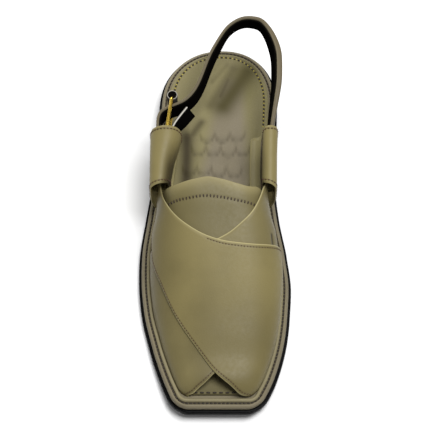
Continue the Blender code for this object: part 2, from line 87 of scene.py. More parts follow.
class Finish:
    """A material; each node of it comes from one method."""

    def __init__(self, name, **constants):
        self.material = bpy.data.materials.new(name)
        self.material.use_nodes = True
        self.tree = self.material.node_tree
        self.shader = self.tree.nodes["Principled BSDF"]
        self.feed(self.shader, {key.replace("_", " "): value for key, value in constants.items()})

    def node(self, kind, settings=None, sockets=None):
        made = self.tree.nodes.new(kind)
        for setting, value in (settings or {}).items():
            setattr(made, setting, value)
        self.feed(made, sockets or {})
        return made

    def feed(self, made, sockets):
        """Link or set each socket, by its name or its number."""
        for key, value in sockets.items():
            value = value.socket if isinstance(value, Number) else value
            if isinstance(value, bpy.types.NodeSocket):
                self.tree.links.new(value, made.inputs[key])
            else:
                made.inputs[key].default_value = value

    def number(self, kind, settings, sockets, output):
        return Number(self, self.node(kind, settings, sockets).outputs[output])

    def place(self):
        return self.node("ShaderNodeTexCoord").outputs["Object"]

    def noise(self, scale, detail):
        """Clouds between 0 and 1, smaller with a greater scale."""
        sockets = {"Vector": self.place(), "Scale": scale, "Detail": detail}
        return self.number("ShaderNodeTexNoise", {}, sockets, "Fac")

    def marked(self, name):
        """A number that the mesh carries at each of its points."""
        return self.number("ShaderNodeAttribute", {"attribute_name": name}, {}, "Fac")

    def blend(self, factor, low, high):
        """One colour turning into the other as the factor goes from 0 to 1."""
        return self.node("ShaderNodeMix", {"data_type": "RGBA"}, {0: factor, 6: low, 7: high}).outputs[2]

    def coat(self, shade, roughness, height, depth):
        """Give the surface its colour and roughness, and bumps of a height between 0 and 1 and a depth."""
        bump = self.node("ShaderNodeBump", {}, {"Height": height, "Distance": depth}).outputs["Normal"]
        self.feed(self.shader, {"Base Color": shade, "Roughness": roughness, "Normal": bump})


def colour_of(red, green, blue):
    """A colour for a socket from red, green and blue as a screen shows them, 0 to 255."""
    shares = np.array((red, green, blue)) / 255
    linear = np.where(shares > 0.04045, ((shares + 0.055) / 1.055) ** 2.4, shares / 12.92)
    return (*linear.tolist(), 1.0)


def linked(name, data):
    """A new object of the scene."""
    made = bpy.data.objects.new(name, data)
    bpy.context.scene.collection.objects.link(made)
    return made


def soft_lamp(name, spot, aim, size, watts):
    """A square lamp at a spot, turned to face its aim."""
    lamp = bpy.data.lights.new(name, "AREA")
    lamp.size, lamp.energy = size, watts
    made = linked(name, lamp)
    made.location = spot
    x, y, z = np.subtract(spot, aim)
    made.rotation_euler = (np.arctan2(np.hypot(x, y), z), 0, np.arctan2(x, -y))


camera = linked("camera", bpy.data.cameras.new("camera"))
camera.data.lens = CAMERA_LENS
camera.data.clip_end = CAMERA_REACH
camera.location = CAMERA_AIM + CAMERA_DISTANCE * np.array((0, -np.cos(CAMERA_RISE), np.sin(CAMERA_RISE)))
camera.rotation_euler = (0.5 * np.pi - CAMERA_RISE, 0, 0)
bpy.context.scene.camera = camera
bpy.context.scene.view_settings.view_transform = "Standard"

sky = bpy.data.worlds.new("studio")
sky.use_nodes = True
backdrop = sky.node_tree.nodes["Background"].inputs
backdrop["Color"].default_value, backdrop["Strength"].default_value = (1, 1, 1, 1), SKY_LIGHT
bpy.context.scene.world = sky
for name, settings in LAMPS.items():
    soft_lamp(name, *settings)

paper = Finish("floor_paper", Base_Color=(FLOOR_SHADE, FLOOR_SHADE, FLOOR_SHADE, 1), Roughness=0.9)
corner = FLOOR_HALF * np.array([(-1, -1, 0), (1, -1, 0), (1, 1, 0), (-1, 1, 0)])
floor_mesh = bpy.data.meshes.new("floor")
floor_mesh.from_pydata(corner.tolist(), [], [(0, 1, 2, 3)])
floor_mesh.materials.append(paper.material)
floor = linked("floor", floor_mesh)

# Outsole: moulded black rubber with a groove round its side, a lifted heel, a flat ball and a
# sprung toe. Wavy ribs are moulded into its underside inside a plain margin.
WELT_LENGTH = 0.290
HALF_WIDTH = 0.0538
HEEL_BACK = 0.034
HEEL_ROUND = 0.045
HEEL_FULLNESS = 2.2
TOE_CORNER = 0.009
SHARPEST_CORNER = 0.003
HEEL_LIFT = 0.012
TOE_SPRING = 0.006
OUTSOLE_THICK = 0.0065
GAP = 0.0003
SOLE_STATIONS = 170
SOLE_ACROSS = 60
RIB_PITCH = 0.0058
RIB_DEPTH = 0.0008
RIB_SWAY = 0.0022
RIB_WAVE = 0.0031
RIB_MARGIN = 0.007
CREASE = np.radians(40)

# Outline of the welt: along as a share of its length, middle line and half width as shares
# of half the ball width
OUTLINE = np.array([
    (0.000, 0.100, 0.766),
    (0.090, 0.061, 0.781),
    (0.172, 0.046, 0.800),
    (0.293, 0.014, 0.804),
    (0.397, -0.023, 0.832),
    (0.483, -0.035, 0.892),
    (0.583, -0.023, 0.976),
    (0.662, 0.000, 1.000),
    (0.738, 0.011, 0.970),
    (0.831, 0.037, 0.880),
    (0.921, 0.045, 0.735),
    (1.000, 0.034, 0.548)])

# Underside of the outsole: along, share of the heel lift, share of the toe spring
PROFILE = np.array([
    (0.000, 1.00, 0.00),
    (0.235, 1.00, 0.00),
    (0.320, 0.74, 0.00),
    (0.420, 0.31, 0.00),
    (0.500, 0.07, 0.00),
    (0.560, 0.00, 0.00),
    (0.770, 0.00, 0.00),
    (0.880, 0.00, 0.27),
    (1.000, 0.00, 1.00)])

# Side of the outsole: how far it stands past the welt in metres, share of its thickness
OUTSOLE_EDGE = [(0.0000, 0.00), (0.0009, 0.02), (0.0016, 0.10), (0.0020, 0.22), (0.0021, 0.42),
                (0.0020, 0.61), (0.0016, 0.66), (0.0012, 0.69), (0.0011, 0.72), (0.0012, 0.75),
                (0.0016, 0.78), (0.0020, 0.83), (0.0020, 0.93), (0.0017, 0.98), (0.0010, 1.00)]


def smooth(table, column, share):
    """One column of a table at the given shares of its first, by a cubic that never overshoots."""
    spots, values = table[:, 0], table[:, column]
    widths = np.diff(spots)
    slopes = np.diff(values) / widths
    tangents = np.zeros(len(values))
    near, far = 2 * widths[1:] + widths[:-1], widths[1:] + 2 * widths[:-1]
    same_way = slopes[1:] * slopes[:-1] > 0
    before = np.where(same_way, slopes[:-1], 1.0)
    after = np.where(same_way, slopes[1:], 1.0)
    tangents[1:-1] = np.where(same_way, (near + far) / (near / before + far / after), 0.0)
    tangents[0], tangents[-1] = slopes[0], slopes[-1]
    share = np.clip(share, spots[0], spots[-1])
    k = np.clip(np.searchsorted(spots, share, side="right") - 1, 0, len(spots) - 2)
    t = (share - spots[k]) / widths[k]
    ahead = 3 * t ** 2 - 2 * t ** 3
    return ((1 - ahead) * values[k] + ahead * values[k + 1]
            + (t ** 3 - 2 * t ** 2 + t) * widths[k] * tangents[k]
            + (t ** 3 - t ** 2) * widths[k] * tangents[k + 1])


def half_width(along, inset=0.0, corner=TOE_CORNER):
    """Half the width of the welt, drawn in by the inset: a superellipse at the heel, arcs at the toe."""
    share = along / WELT_LENGTH
    step = 0.01
    rise = smooth(OUTLINE, 2, share + step) - smooth(OUTLINE, 2, share - step)
    slant = HALF_WIDTH * rise / (2 * step * WELT_LENGTH)
    wide = HALF_WIDTH * smooth(OUTLINE, 2, share) - inset * np.sqrt(1 + slant ** 2)
    back = np.clip((along - inset) / (HEEL_ROUND - inset), 0, 1)
    wide = wide * (1 - (1 - back) ** HEEL_FULLNESS) ** (1 / HEEL_FULLNESS)
    radius = np.maximum(corner - inset, SHARPEST_CORNER)
    front = np.clip(WELT_LENGTH - inset - along, 0, radius)
    return wide - radius + np.sqrt(radius ** 2 - (radius - front) ** 2)


def middle(along):
    """Middle line of the outline, which swings outwards at the waist."""
    return HALF_WIDTH * smooth(OUTLINE, 1, along / WELT_LENGTH)


def sole_bottom(along):
    """Height of the outsole's underside."""
    share = along / WELT_LENGTH
    return HEEL_LIFT * smooth(PROFILE, 1, share) + TOE_SPRING * smooth(PROFILE, 2, share)


def place(x, along, z):
    """World positions from across, along and up."""
    x, along, z = np.broadcast_arrays(x, along, z)
    return np.stack([x, HEEL_BACK - along, z], axis=-1)


def across_along(points):
    """Across and along of world positions."""
    return points[..., 0], HEEL_BACK - points[..., 1]


def unit(arrows):
    return arrows / np.maximum(np.linalg.norm(arrows, axis=-1, keepdims=True), 1e-12)


def half_wave(t):
    """Half a cosine wave from 0 to 1, slow at both ends."""
    return 0.5 - 0.5 * np.cos(np.pi * t)


def both_sides(along, wide, z):
    """A line down the outer side, as far from the middle line as wide, and back up the inner side."""
    outer, inner = (place(middle(along) + side * wide, along, z) for side in (-1, 1))
    return np.concatenate([outer, inner[::-1]])


def ring(inset, height, bottom, stop=WELT_LENGTH):
    """One line round the sole, drawn in by the inset, at a height above its bottom."""
    last = stop - (inset if stop == WELT_LENGTH else 0)
    along = inset + (last - inset) * half_wave(np.linspace(0, 1, SOLE_STATIONS))
    return both_sides(along, half_width(along, inset), bottom(np.clip(along, 0, WELT_LENGTH)) + height)


def grid_quads(rows, columns, wrap=False, start=0):
    """Corner numbers of the quads of a grid stored row by row; wrap joins its last column to its first."""
    row = np.arange(rows - 1)[:, None]
    column = np.arange(columns if wrap else columns - 1)[None, :]
    here, beside = row * columns + column, row * columns + (column + 1) % columns
    return start + np.stack([here, beside, beside + columns, here + columns], axis=-1).reshape(-1, 4)


def ladder(count, start=0):
    """Quads that close a ring of an even count of points: each point is joined to its mirror."""
    k = np.arange(count // 2 - 1)
    return start + np.stack([k, k + 1, count - 2 - k, count - 1 - k], axis=-1)


def add_piece(name, points, quads, finish, stands_for=(), marks=None):
    """A smooth-shaded piece from arrays of points and quads: doubled points merge, faces turn outwards."""
    mesh = bpy.data.meshes.new(name)
    mesh.from_pydata(points.reshape(-1, 3).tolist(), [], quads.tolist())
    for mark, values in (marks or {}).items():
        made = mesh.attributes.new(mark, "FLOAT", "POINT")
        made.data.foreach_set("value", np.ravel(values).astype(np.float32))
    work = bmesh.new()
    work.from_mesh(mesh)
    bmesh.ops.remove_doubles(work, verts=work.verts, dist=2e-6)
    bmesh.ops.recalc_face_normals(work, faces=work.faces)
    work.to_mesh(mesh)
    work.free()
    mesh.shade_smooth()
    mesh.set_sharp_from_angle(angle=CREASE)
    mesh.materials.append(finish.material)
    made = linked(name, mesh)
    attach(made, "root")
    if stands_for:
        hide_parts(*stands_for)
    return made


def deck(edge, across):
    """A grid over a ring: each outer point joined to its inner mirror by evenly spaced points."""
    half = len(edge) // 2
    share = np.linspace(0, 1, across)[None, :, None]
    return edge[:half, None] * (1 - share) + edge[half:][::-1][:, None] * share


def stack_piece(name, rings, across, finish, stands_for, low_relief=None, high_relief=None,
                marks=None):
    """A solid between rings: walls of quads, and a grid over each end that a relief may raise."""
    low, high = deck(rings[0], across), deck(rings[-1], across)
    for grid, relief in ((low, low_relief), (high, high_relief)):
        if relief:
            grid[..., 2] += relief(grid)
    walls = np.stack(rings)
    count = walls.shape[1]
    half = count // 2
    points = np.concatenate([part.reshape(-1, 3) for part in (walls, low, high)])
    quads = np.concatenate([
        grid_quads(len(rings), count, wrap=True),
        grid_quads(half, across, start=walls[..., 0].size),
        grid_quads(half, across, start=walls[..., 0].size + low[..., 0].size)])
    values = {mark: worked_out(points) for mark, worked_out in (marks or {}).items()}
    return add_piece(name, points, quads, finish, stands_for, values)


def from_edge(grid):
    """How far each point of a deck is from its edge, measured across and from its two ends."""
    x, along = across_along(grid)
    side = np.minimum(np.abs(x - x[:, :1]), np.abs(x - x[:, -1:]))
    return np.minimum(side, np.minimum(along - along.min(), along.max() - along))


def ease(value, low, high):
    """0 up to the low value, 1 from the high value, and a smooth step between."""
    t = np.clip((value - low) / (high - low), 0, 1)
    return t * t * (3 - 2 * t)


def tread(grid):
    """Wavy cross ribs: a cosine along the sole, bent by a sine across it, off the margin and the waist."""
    x, along = across_along(grid)
    wave = np.cos(2 * np.pi * (along + RIB_SWAY * np.sin(x / RIB_WAVE)) / RIB_PITCH)
    inside = ease(from_edge(grid), RIB_MARGIN, RIB_MARGIN + 0.0015)
    waist = 1 - ease(along, 0.055, 0.060) * (1 - ease(along, 0.118, 0.124))
    return RIB_DEPTH * inside * waist * ease(wave, 0.0, 0.5)


def rubber_finish(name):
    """Black rubber: a fine matt skin with faint pale dust."""
    skin = Finish(name, Specular_IOR_Level=0.06)
    dust = skin.noise(70, 6).ramp(0.52, 0.75)
    pebble = skin.noise(2200, 2)
    shade = skin.blend(dust * 0.35, colour_of(3, 3, 4), colour_of(13, 12, 13))
    skin.coat(shade, 0.44 + dust * 0.2, pebble, 0.00006)
    return skin


black_rubber = rubber_finish("black_rubber_skin")
rings = [ring(-out, share * OUTSOLE_THICK, sole_bottom) for out, share in OUTSOLE_EDGE]
stack_piece("outsole_dressed", rings, SOLE_ACROSS, black_rubber, ["outsole"],
            low_relief=tread)

# Heel: three rubber lifts pressed together under the outsole, drawn in a little towards the
# floor, with a thin line between one lift and the next.
HEEL_BREAST = 0.066

# Side of the heel: how far it is drawn in, share of its height
HEEL_EDGE = [(0.0022, 0.00), (0.0017, 0.01), (0.0013, 0.04), (0.0010, 0.08), (0.0007, 0.30),
             (0.0011, 0.325), (0.0006, 0.35), (0.0002, 0.63), (0.0006, 0.655), (0.0000, 0.68),
             (-0.0008, 0.97), (-0.0008, 1.00)]

heel_lift = HEEL_LIFT - GAP
rings = [ring(inset, share * heel_lift, np.zeros_like, stop=HEEL_BREAST) for inset, share in HEEL_EDGE]
stack_piece("heel_dressed", rings, SOLE_ACROSS, black_rubber, ["heel"], low_relief=tread)

# Midsole: leather boards under a khaki welt whose rounded lip goes all round. A channel is cut
# into the welt, and the dark thread that holds the outsole lies in it.
MIDSOLE_THICK = 0.0055
CHANNEL_INSET = 0.0031
CHANNEL_DEPTH = 0.0009
THREAD_PITCH = 0.0029
THREAD_LENGTH = 0.0025
THREAD_THICK = 0.0014
THREAD_SLANT = 0.16
LEATHER_CLOUDS = 0.12
LEATHER_GRAIN = 0.00004

# Side and top of the midsole with the channel: how far it is drawn in, share of its thickness
MIDSOLE_EDGE = [(0.0009, 0.00), (0.0003, 0.05), (0.0000, 0.16), (0.0000, 0.60), (0.0001, 0.74),
                (0.0005, 0.87), (0.0011, 0.96), (0.0018, 1.00), (0.0022, 0.995), (0.0025, 0.95),
                (0.0028, 0.87), (0.0031, 0.84), (0.0034, 0.87), (0.0037, 0.95), (0.0040, 0.995),
                (0.0044, 1.00)]


def midsole_bottom(along):
    return sole_bottom(along) + OUTSOLE_THICK + GAP


def welt_top(along):
    return midsole_bottom(along) + MIDSOLE_THICK


def channel_shade(points):
    """Painted shade in the welt's channel: darker below its top and inside its lip."""
    x, along = across_along(points)
    along = np.clip(along, 0, WELT_LENGTH)
    inside = np.abs(x - middle(along)) < half_width(along, CHANNEL_INSET - 0.0007)
    return inside * ease(welt_top(along) - points[:, 2], 0.0001, 0.0006)


def leather_finish(name, colour, pale, dark, roughness=0.45):
    """Smooth leather: cloudy, a pebbled grain with pores, a pale rim mark and two marks of painted shade."""
    colour, pale, dark = (colour_of(*shade) for shade in (colour, pale, dark))
    skin = Finish(name, Specular_IOR_Level=0.20)
    clouds = skin.noise(38, 5)
    flecks = skin.noise(420, 3)
    cells = skin.number("ShaderNodeTexVoronoi", {"feature": "SMOOTH_F1"},
                        {"Vector": skin.place(), "Scale": 1150}, "Distance")
    pores = skin.noise(3800, 2)
    shade = skin.blend(clouds.ramp(0.35, 0.68) * LEATHER_CLOUDS, colour, dark)
    # Rim mark: painted highlight on the edges of the bands, tongue and quarters; on the strap, its pale cut
    # edge.
    shade = skin.blend(skin.marked("rim") * 0.7, shade, pale)
    # Seam mark: painted shade in seam troughs, the welt's channel, folds, a slit and under rims.
    shade = skin.blend(skin.marked("seam") * 0.4, shade, dark)
    # Painted shade on the bands' flanks and over the toes.
    shade = skin.blend(skin.marked("tone") * 0.3, shade, dark)
    skin.coat(shade, roughness + flecks.ramp(0.35, 0.7) * 0.08, cells * 0.8 + pores * 0.35, LEATHER_GRAIN)
    return skin


def thread_finish(name, colour, pale):
    """Waxed thread: fine strands seen as a quick change of shade along and across it."""
    cord = Finish(name, Specular_IOR_Level=0.3)
    strands = cord.noise(2600, 2)
    shade = cord.blend(strands.ramp(0.35, 0.65), colour_of(*colour), colour_of(*pale))
    cord.coat(shade, 0.6, strands, 0.00008)
    return cord


def upright(path):
    """An up arrow for each point of a path."""
    return np.tile((0.0, 0.0, 1.0), (len(path), 1))


def tube_quads(rows, columns):
    """Corner numbers of a tube of closed rows, with both its ends closed."""
    return np.concatenate([grid_quads(rows, columns, wrap=True), ladder(columns),
                           ladder(columns, (rows - 1) * columns)])


def stitches(name, path, ups, pitch, length, thick, finish, slant=0.0, start=0.5):
    """Threads along a path: each a round bar, swelling as a half ellipse, whose ends dip into the leather.

    A slant turns each bar about its up arrow, in radians; start is the first one's place in pitches.
    """
    reach = np.concatenate([[0], np.cumsum(np.linalg.norm(np.diff(path, axis=0), axis=1))])
    count = max(int(reach[-1] / pitch), 1)
    spots = (np.arange(count) + start) * reach[-1] / count

    def along_path(values, where):
        return np.stack([np.interp(where, reach, values[:, k]) for k in range(3)], axis=-1)

    centre = along_path(path, spots)
    ahead = unit(along_path(path, spots + 0.3 * pitch) - along_path(path, spots - 0.3 * pitch))
    up = unit(along_path(ups, spots))
    side = unit(np.cross(ahead, up))
    ahead = np.cross(up, side)
    slants = np.broadcast_to(slant, (count,))[:, None]
    ahead, side = (ahead * np.cos(slants) + side * np.sin(slants),
                   side * np.cos(slants) - ahead * np.sin(slants))
    run = np.array((-0.5, -0.36, 0.0, 0.36, 0.5))[None, :, None, None] * length
    swell = np.array((0.30, 0.86, 1.0, 0.86, 0.30))[None, :, None, None] * 0.5 * thick
    lift = np.array((-0.75, -0.05, 0.10, -0.05, -0.75))[None, :, None, None] * thick
    turn = np.radians(np.arange(0, 360, 60))[None, None, :, None]
    centre, ahead, side, up = (part[:, None, None, :] for part in (centre, ahead, side, up))
    points = centre + ahead * run + side * swell * np.cos(turn) + up * (lift + swell * np.sin(turn))
    rows, columns = points.shape[1:3]
    quads = np.arange(count)[:, None, None] * rows * columns + tube_quads(rows, columns)
    return add_piece(name, points, quads.reshape(-1, 4), finish)


welt_leather = leather_finish("welt_leather_skin", (114, 106, 85), (146, 138, 114), (30, 25, 18), 0.5)
dark_thread = thread_finish("dark_thread", (15, 11, 7), (54, 43, 30))
rings = [ring(inset, share * MIDSOLE_THICK, midsole_bottom) for inset, share in MIDSOLE_EDGE]
# The seam mark on the midsole is painted shade in its channel.
stack_piece("midsole_dressed", rings, 3, welt_leather, ["midsole"],
            marks={"seam": channel_shade})
path = ring(CHANNEL_INSET, 0.4 * THREAD_THICK - CHANNEL_DEPTH, welt_top)
path = np.concatenate([path, path[:1]])
stitches("welt_stitches", path, upright(path), THREAD_PITCH, THREAD_LENGTH, THREAD_THICK, dark_thread,
         slant=THREAD_SLANT)

# Rand: a narrow rounded bead of leather, laid on the welt where the bands go under it, from one
# quarter round the toe to the other.
RAND_START = 0.070
RAND_INSET = 0.0052
RAND_WIDTH = 0.0034
RAND_HEIGHT = 0.0029
RAND_SUNK = 0.0007
RAND_STATIONS = 260


def sweep(name, path, sides, ups, section, finish, stands_for=(), marks=None, endless=False):
    """A closed section carried along a path: each of its points is a side and an up from the path."""
    points = path[:, None] + sides[:, None] * section[..., :1] + ups[:, None] * section[..., 1:]
    rows, columns = points.shape[:2]
    quads = grid_quads(rows, columns, wrap=True) if endless else tube_quads(rows, columns)
    return add_piece(name, points, quads, finish, stands_for, marks)


spread = np.sin(0.5 * np.pi * np.linspace(0, 1, RAND_STATIONS // 2))
along = RAND_START + (WELT_LENGTH - RAND_INSET - RAND_START) * spread
path = both_sides(along, half_width(along, RAND_INSET), welt_top(along) - RAND_SUNK)
sides = unit(np.cross(np.gradient(path, axis=0), (0, 0, 1)))
turn = np.linspace(0, np.pi, 12)
dome = np.stack([-0.5 * np.cos(turn) * np.sin(turn) ** 0.15, np.sin(turn) ** 0.8], axis=1)
bead = dome * (RAND_WIDTH, RAND_HEIGHT)
rand_leather = leather_finish("rand_skin", (126, 118, 90), (160, 152, 122), (34, 28, 18))
sweep("rand_dressed", path, sides, upright(path), bead[None], rand_leather, ["rand"])

# Insole: a thin foam pad under a matt leather sock, rounded at its edge and sewn round the heel
# with yellow over black thread. Rows of soft scales are pressed into its middle.
INSOLE_THICK = 0.0025
INSOLE_MARGIN = 0.0098
FOOT_CORNER = 0.015
SEAM_INSET = 0.0033
SEAM_TROUGH = 0.0004
SEAM_END = 0.072
SOCK_PITCH = 0.0033
SOCK_STITCH = 0.0014
SOCK_THREAD = 0.00095
UNDER_STITCH = 0.0022
UNDER_THREAD = 0.0016
TOE_PITCH = 0.0044
TOE_STITCH = 0.0034
TOE_THREAD = 0.0013
CUP_DEPTH = 0.0008
FOLD_DEPTH = 0.0007
SWELL_RISE = 0.0007
SCALE_RISE = 0.0012
SCALE_WIDE = 0.0056
SCALE_LONG = 0.0060

# Along as a share of the welt's length, share of the insole's inset beside the bands
INSOLE_INSET = np.array([
    (0.00, 0.510),
    (0.235, 0.510),
    (0.290, 1.000),
    (0.90, 1.000),
    (1.00, 0.940)])

# Edge of the insole: how far it is drawn in, share of its thickness
INSOLE_EDGE = [(0.0000, 0.00), (0.0000, 0.45), (0.0001, 0.65), (0.0004, 0.82), (0.0008, 0.94),
               (0.0013, 1.00)]

# Middles of the pressed scales: along and across
SCALES = np.array([
    (0.0762, 0.0053), (0.0754, 0.0167), (0.0762, -0.0062),
    (0.0868, -0.0015), (0.0874, 0.0098), (0.0865, 0.0207), (0.0865, -0.0128),
    (0.1018, -0.0083), (0.1035, 0.0023), (0.1035, 0.0143), (0.1020, -0.0195),
    (0.1165, -0.0030), (0.1165, 0.0088), (0.1160, 0.0205), (0.1160, -0.0145),
    (0.1300, -0.0080), (0.1300, 0.0035), (0.1300, 0.0150), (0.1300, 0.0265), (0.1300, -0.0195)])

# Painted shadows on the sock, cast by the strap, and painted shade beside the outer loop: from
# and to, each across and along, how wide and how dark
PAINTED_SHADOWS = [((0.0140, 0.0180), (-0.0040, 0.0500), 0.0042, 0.45),
        ((0.0095, 0.0145), (-0.0020, 0.0295), 0.0020, 0.30),
        ((0.0100, 0.0270), (0.0040, 0.0420), 0.0020, 0.60),
        ((-0.0105, 0.0655), (-0.0175, 0.0765), 0.0034, 0.75),
        ((-0.0210, 0.0780), (-0.0220, 0.1300), 0.0056, 1.00)]

# The strap's olive painted shadow beside them and the fold below them, same columns without
# the last
OLIVE_STRAP_SHADOW = ((0.0245, 0.0215), (0.0060, 0.0510), 0.0092)
HEEL_FOLD = ((0.0125, 0.0200), (-0.0190, 0.0760), 0.0055)


def bell(value, wide):
    """Bell curve: 1 where the value is 0, and about a third where it is as great as wide."""
    return np.exp(-(value / wide) ** 2)


def insole_ring(draw_in, share):
    """A ring of the insole, drawn in from its edge at a share of its thickness."""
    first = INSOLE_MARGIN * INSOLE_INSET[0, 1] + draw_in
    last = WELT_LENGTH - INSOLE_MARGIN * INSOLE_INSET[-1, 1] - draw_in
    along = first + (last - first) * half_wave(np.linspace(0, 1, SOLE_STATIONS))
    inset = INSOLE_MARGIN * smooth(INSOLE_INSET, 1, along / WELT_LENGTH) + draw_in
    z = welt_top(along) + GAP + share * INSOLE_THICK
    return both_sides(along, half_width(along, inset, FOOT_CORNER), z)


def over_scales(points, shape):
    """The highest value of a shape over all scales, from ahead and aside of each middle in scale sizes."""
    x, along = across_along(points)
    return np.maximum.reduce([shape((along - middle_along) / SCALE_LONG, (x - middle_x) / SCALE_WIDE)
                              for middle_along, middle_x in SCALES])


def pressed_scale(ahead, aside):
    """Height of a scale: it rises slowly from its heel side and ends in a round step on its toe side."""
    return SCALE_RISE * ease(1.06 - np.hypot(aside, ahead), 0, 0.36) * ease(ahead, -1.0, 0.5)


def scale_shade(ahead, aside):
    """Painted shade: a thin curved band round the toe side of a scale, below its step."""
    return bell(np.hypot(aside, ahead) - 1.04, 0.12) * ease(ahead + 0.5 * aside, -0.1, 0.6)


def beside_line(points, first, last, wide):
    """Bell curve of the distance from a line between two places, each across and along."""
    x, along = across_along(points)
    run = np.subtract(last, first)
    length = np.hypot(run[0], run[1])
    ahead = ((x - first[0]) * run[0] + (along - first[1]) * run[1]) / length
    aside = ((x - first[0]) * run[1] - (along - first[1]) * run[0]) / length
    past = np.maximum(np.maximum(-ahead, ahead - length), 0)
    return bell(np.hypot(aside, past), wide)


def painted_shade_mark(points):
    """Painted shadows of the strap, painted shade beside the outer loop, and the shade inside the toe."""
    toe = 0.4 * ease(across_along(points)[1], 0.245, 0.262)
    return np.maximum.reduce([toe] + [dark * beside_line(points, *line) for *line, dark in PAINTED_SHADOWS])


def strap_shadow_mark(points):
    """The strap's broad painted shadow on the sock, olive and dull, on the inner side of the darker ones."""
    return beside_line(points, *OLIVE_STRAP_SHADOW)


def insole_relief(grid):
    """The sock's dents and rises: the seam's trough, a cupped heel, a soft fold and the scales."""
    along, edge = across_along(grid)[1], from_edge(grid)
    heel = 1 - ease(along, 0.060, 0.075)
    trough = -SEAM_TROUGH * heel * bell(edge - SEAM_INSET + 0.0013, 0.0007)
    cup = -CUP_DEPTH * heel * ease(edge, 0.002, 0.016)
    fold = -FOLD_DEPTH * beside_line(grid, *HEEL_FOLD)
    swell = SWELL_RISE * ease(along, 0.050, 0.066) * ease(edge, 0.002, 0.009)
    return trough + cup + fold + swell + over_scales(grid, pressed_scale) * ease(edge, 0.001, 0.005)


def pad_mark(points):
    """Where the sock is greyer: a tongue shape down the middle that widens towards the toe."""
    x, along = across_along(points)
    left = np.interp(along, (0.025, 0.052, 0.088, 0.150), (0.010, 0.001, -0.006, -0.020))
    right = np.interp(along, (0.025, 0.115, 0.150), (0.022, 0.027, 0.030))
    inside = ease(x, left - 0.006, left + 0.006) * (1 - ease(x, right - 0.007, right + 0.004))
    return inside * ease(along, 0.02, 0.035) * (1 - ease(along, 0.20, 0.24))


def warm_mark(points):
    """Where the sock is yellower: the inner side of the heel, beside the greyer pad."""
    x, along = across_along(points)
    return bell(x - 0.0240, 0.013) * bell(along - 0.040, 0.032)


def sock_finish():
    """Matt lining leather: khaki, greyer on the pad, yellower at the heel's inner side, with painted shadows
    and shade.
    """
    skin = Finish("insole_sock", Specular_IOR_Level=0.25)
    clouds = skin.noise(55, 5)
    fine = skin.noise(1500, 3)
    shade = colour_of(113, 106, 72)
    for factor, colour in ((skin.marked("warm") * 0.7, (98, 92, 56)),
                           (skin.marked("pad") * 0.95, (109, 101, 84)),
                           (clouds.ramp(0.38, 0.68) * 0.25, (100, 92, 70)),
                           (fine.ramp(0.45, 0.75) * 0.14, (150, 143, 120)),
                           # The strap's painted shadow, olive.
                           (skin.marked("strap_shadow") * 0.95, (56, 50, 14)),
                           # Painted shadows of the strap, painted shade beside the outer loop and in the
                           # toe.
                           (skin.marked("painted_shade") * 0.95, (42, 34, 10)),
                           # Painted shade round the toe side of each scale.
                           (skin.marked("scale_shade") * 0.36, (58, 51, 38))):
        shade = skin.blend(factor, shade, colour_of(*colour))
    skin.coat(shade, 0.66 + fine * 0.12, fine + clouds * 1.5, 0.00012)
    return skin


sock = sock_finish()
rings = [insole_ring(draw_in, share) for draw_in, share in INSOLE_EDGE]
insole = stack_piece("insole_dressed", rings, 150, sock, ["insole"],
                     high_relief=insole_relief,
                     marks={"pad": pad_mark, "warm": warm_mark, "strap_shadow": strap_shadow_mark, "painted_shade": painted_shade_mark,
                            "scale_shade": lambda points: over_scales(points, scale_shade)})

yellow_thread = thread_finish("yellow_thread", (146, 130, 30), (180, 164, 66))
seam = insole_ring(SEAM_INSET, 1.0)
outer, inner = (half[across_along(half)[1] < SEAM_END][::-1] for half in np.split(seam, 2))
path = np.concatenate([outer, inner])
path[:, 2] += 0.00005 - SEAM_TROUGH
stitches("insole_stitches", path, upright(path), SOCK_PITCH, SOCK_STITCH, SOCK_THREAD, yellow_thread)
stitches("insole_under_stitches", path, upright(path), SOCK_PITCH, UNDER_STITCH, UNDER_THREAD, dark_thread,
         start=0.0)
toe = WELT_LENGTH - INSOLE_MARGIN * INSOLE_INSET[-1, 1] - 0.0012
path = place(np.linspace(-0.016, 0.020, 40), toe, welt_top(toe) + GAP + INSOLE_THICK + 0.0001)
stitches("toe_stitches", path, upright(path), TOE_PITCH, TOE_STITCH, TOE_THREAD, dark_thread)

# Tongue: one piece of soft leather over the instep, under both bands, given a darker colour as
# painted shade. A wide painted highlight lies along its folded rear edge, and a row of short
# cross stitches holds the lining behind that.
INSTEP_HEIGHT = 0.061
UPPER_WALL = 0.0022
TONGUE_CLEAR = 0.0006
TONGUE_WALL = 0.0015
FOOT_INSET = 0.0068
TOE_ROUND = 0.016
RIM_STEPS = 6
CROSS_PITCH = 0.0025
CROSS_LENGTH = 0.0027
CROSS_THREAD = 0.0011
CROSS_SLANT = 0.12
CROSS_TROUGH = 0.00022
TONGUE_FOLD = 0.00008
SKIVED = 0.5

# The last: along, crown height as a share of the instep, squareness of the section, shift of
# the crown to the inner side and flare of the walls as shares of half the ball width, inset of
# the foot of the wall as a share of its inset at the toe
LAST = np.array([
    (0.28, 1.36, 5.0, 0.000, 0.093, 1.309),
    (0.43, 1.06, 5.0, 0.019, 0.074, 1.309),
    (0.46, 1.00, 3.8, 0.037, 0.063, 1.309),
    (0.52, 0.93, 3.1, 0.074, 0.048, 1.250),
    (0.57, 0.85, 2.9, 0.112, 0.041, 1.029),
    (0.62, 0.77, 2.7, 0.149, 0.037, 1.000),
    (0.69, 0.65, 2.5, 0.167, 0.037, 1.000),
    (0.76, 0.525, 2.4, 0.167, 0.037, 1.000),
    (0.83, 0.405, 2.3, 0.149, 0.033, 1.000),
    (0.90, 0.275, 2.3, 0.093, 0.022, 1.000),
    (0.98, 0.210, 2.3, 0.037, 0.009, 1.000)])

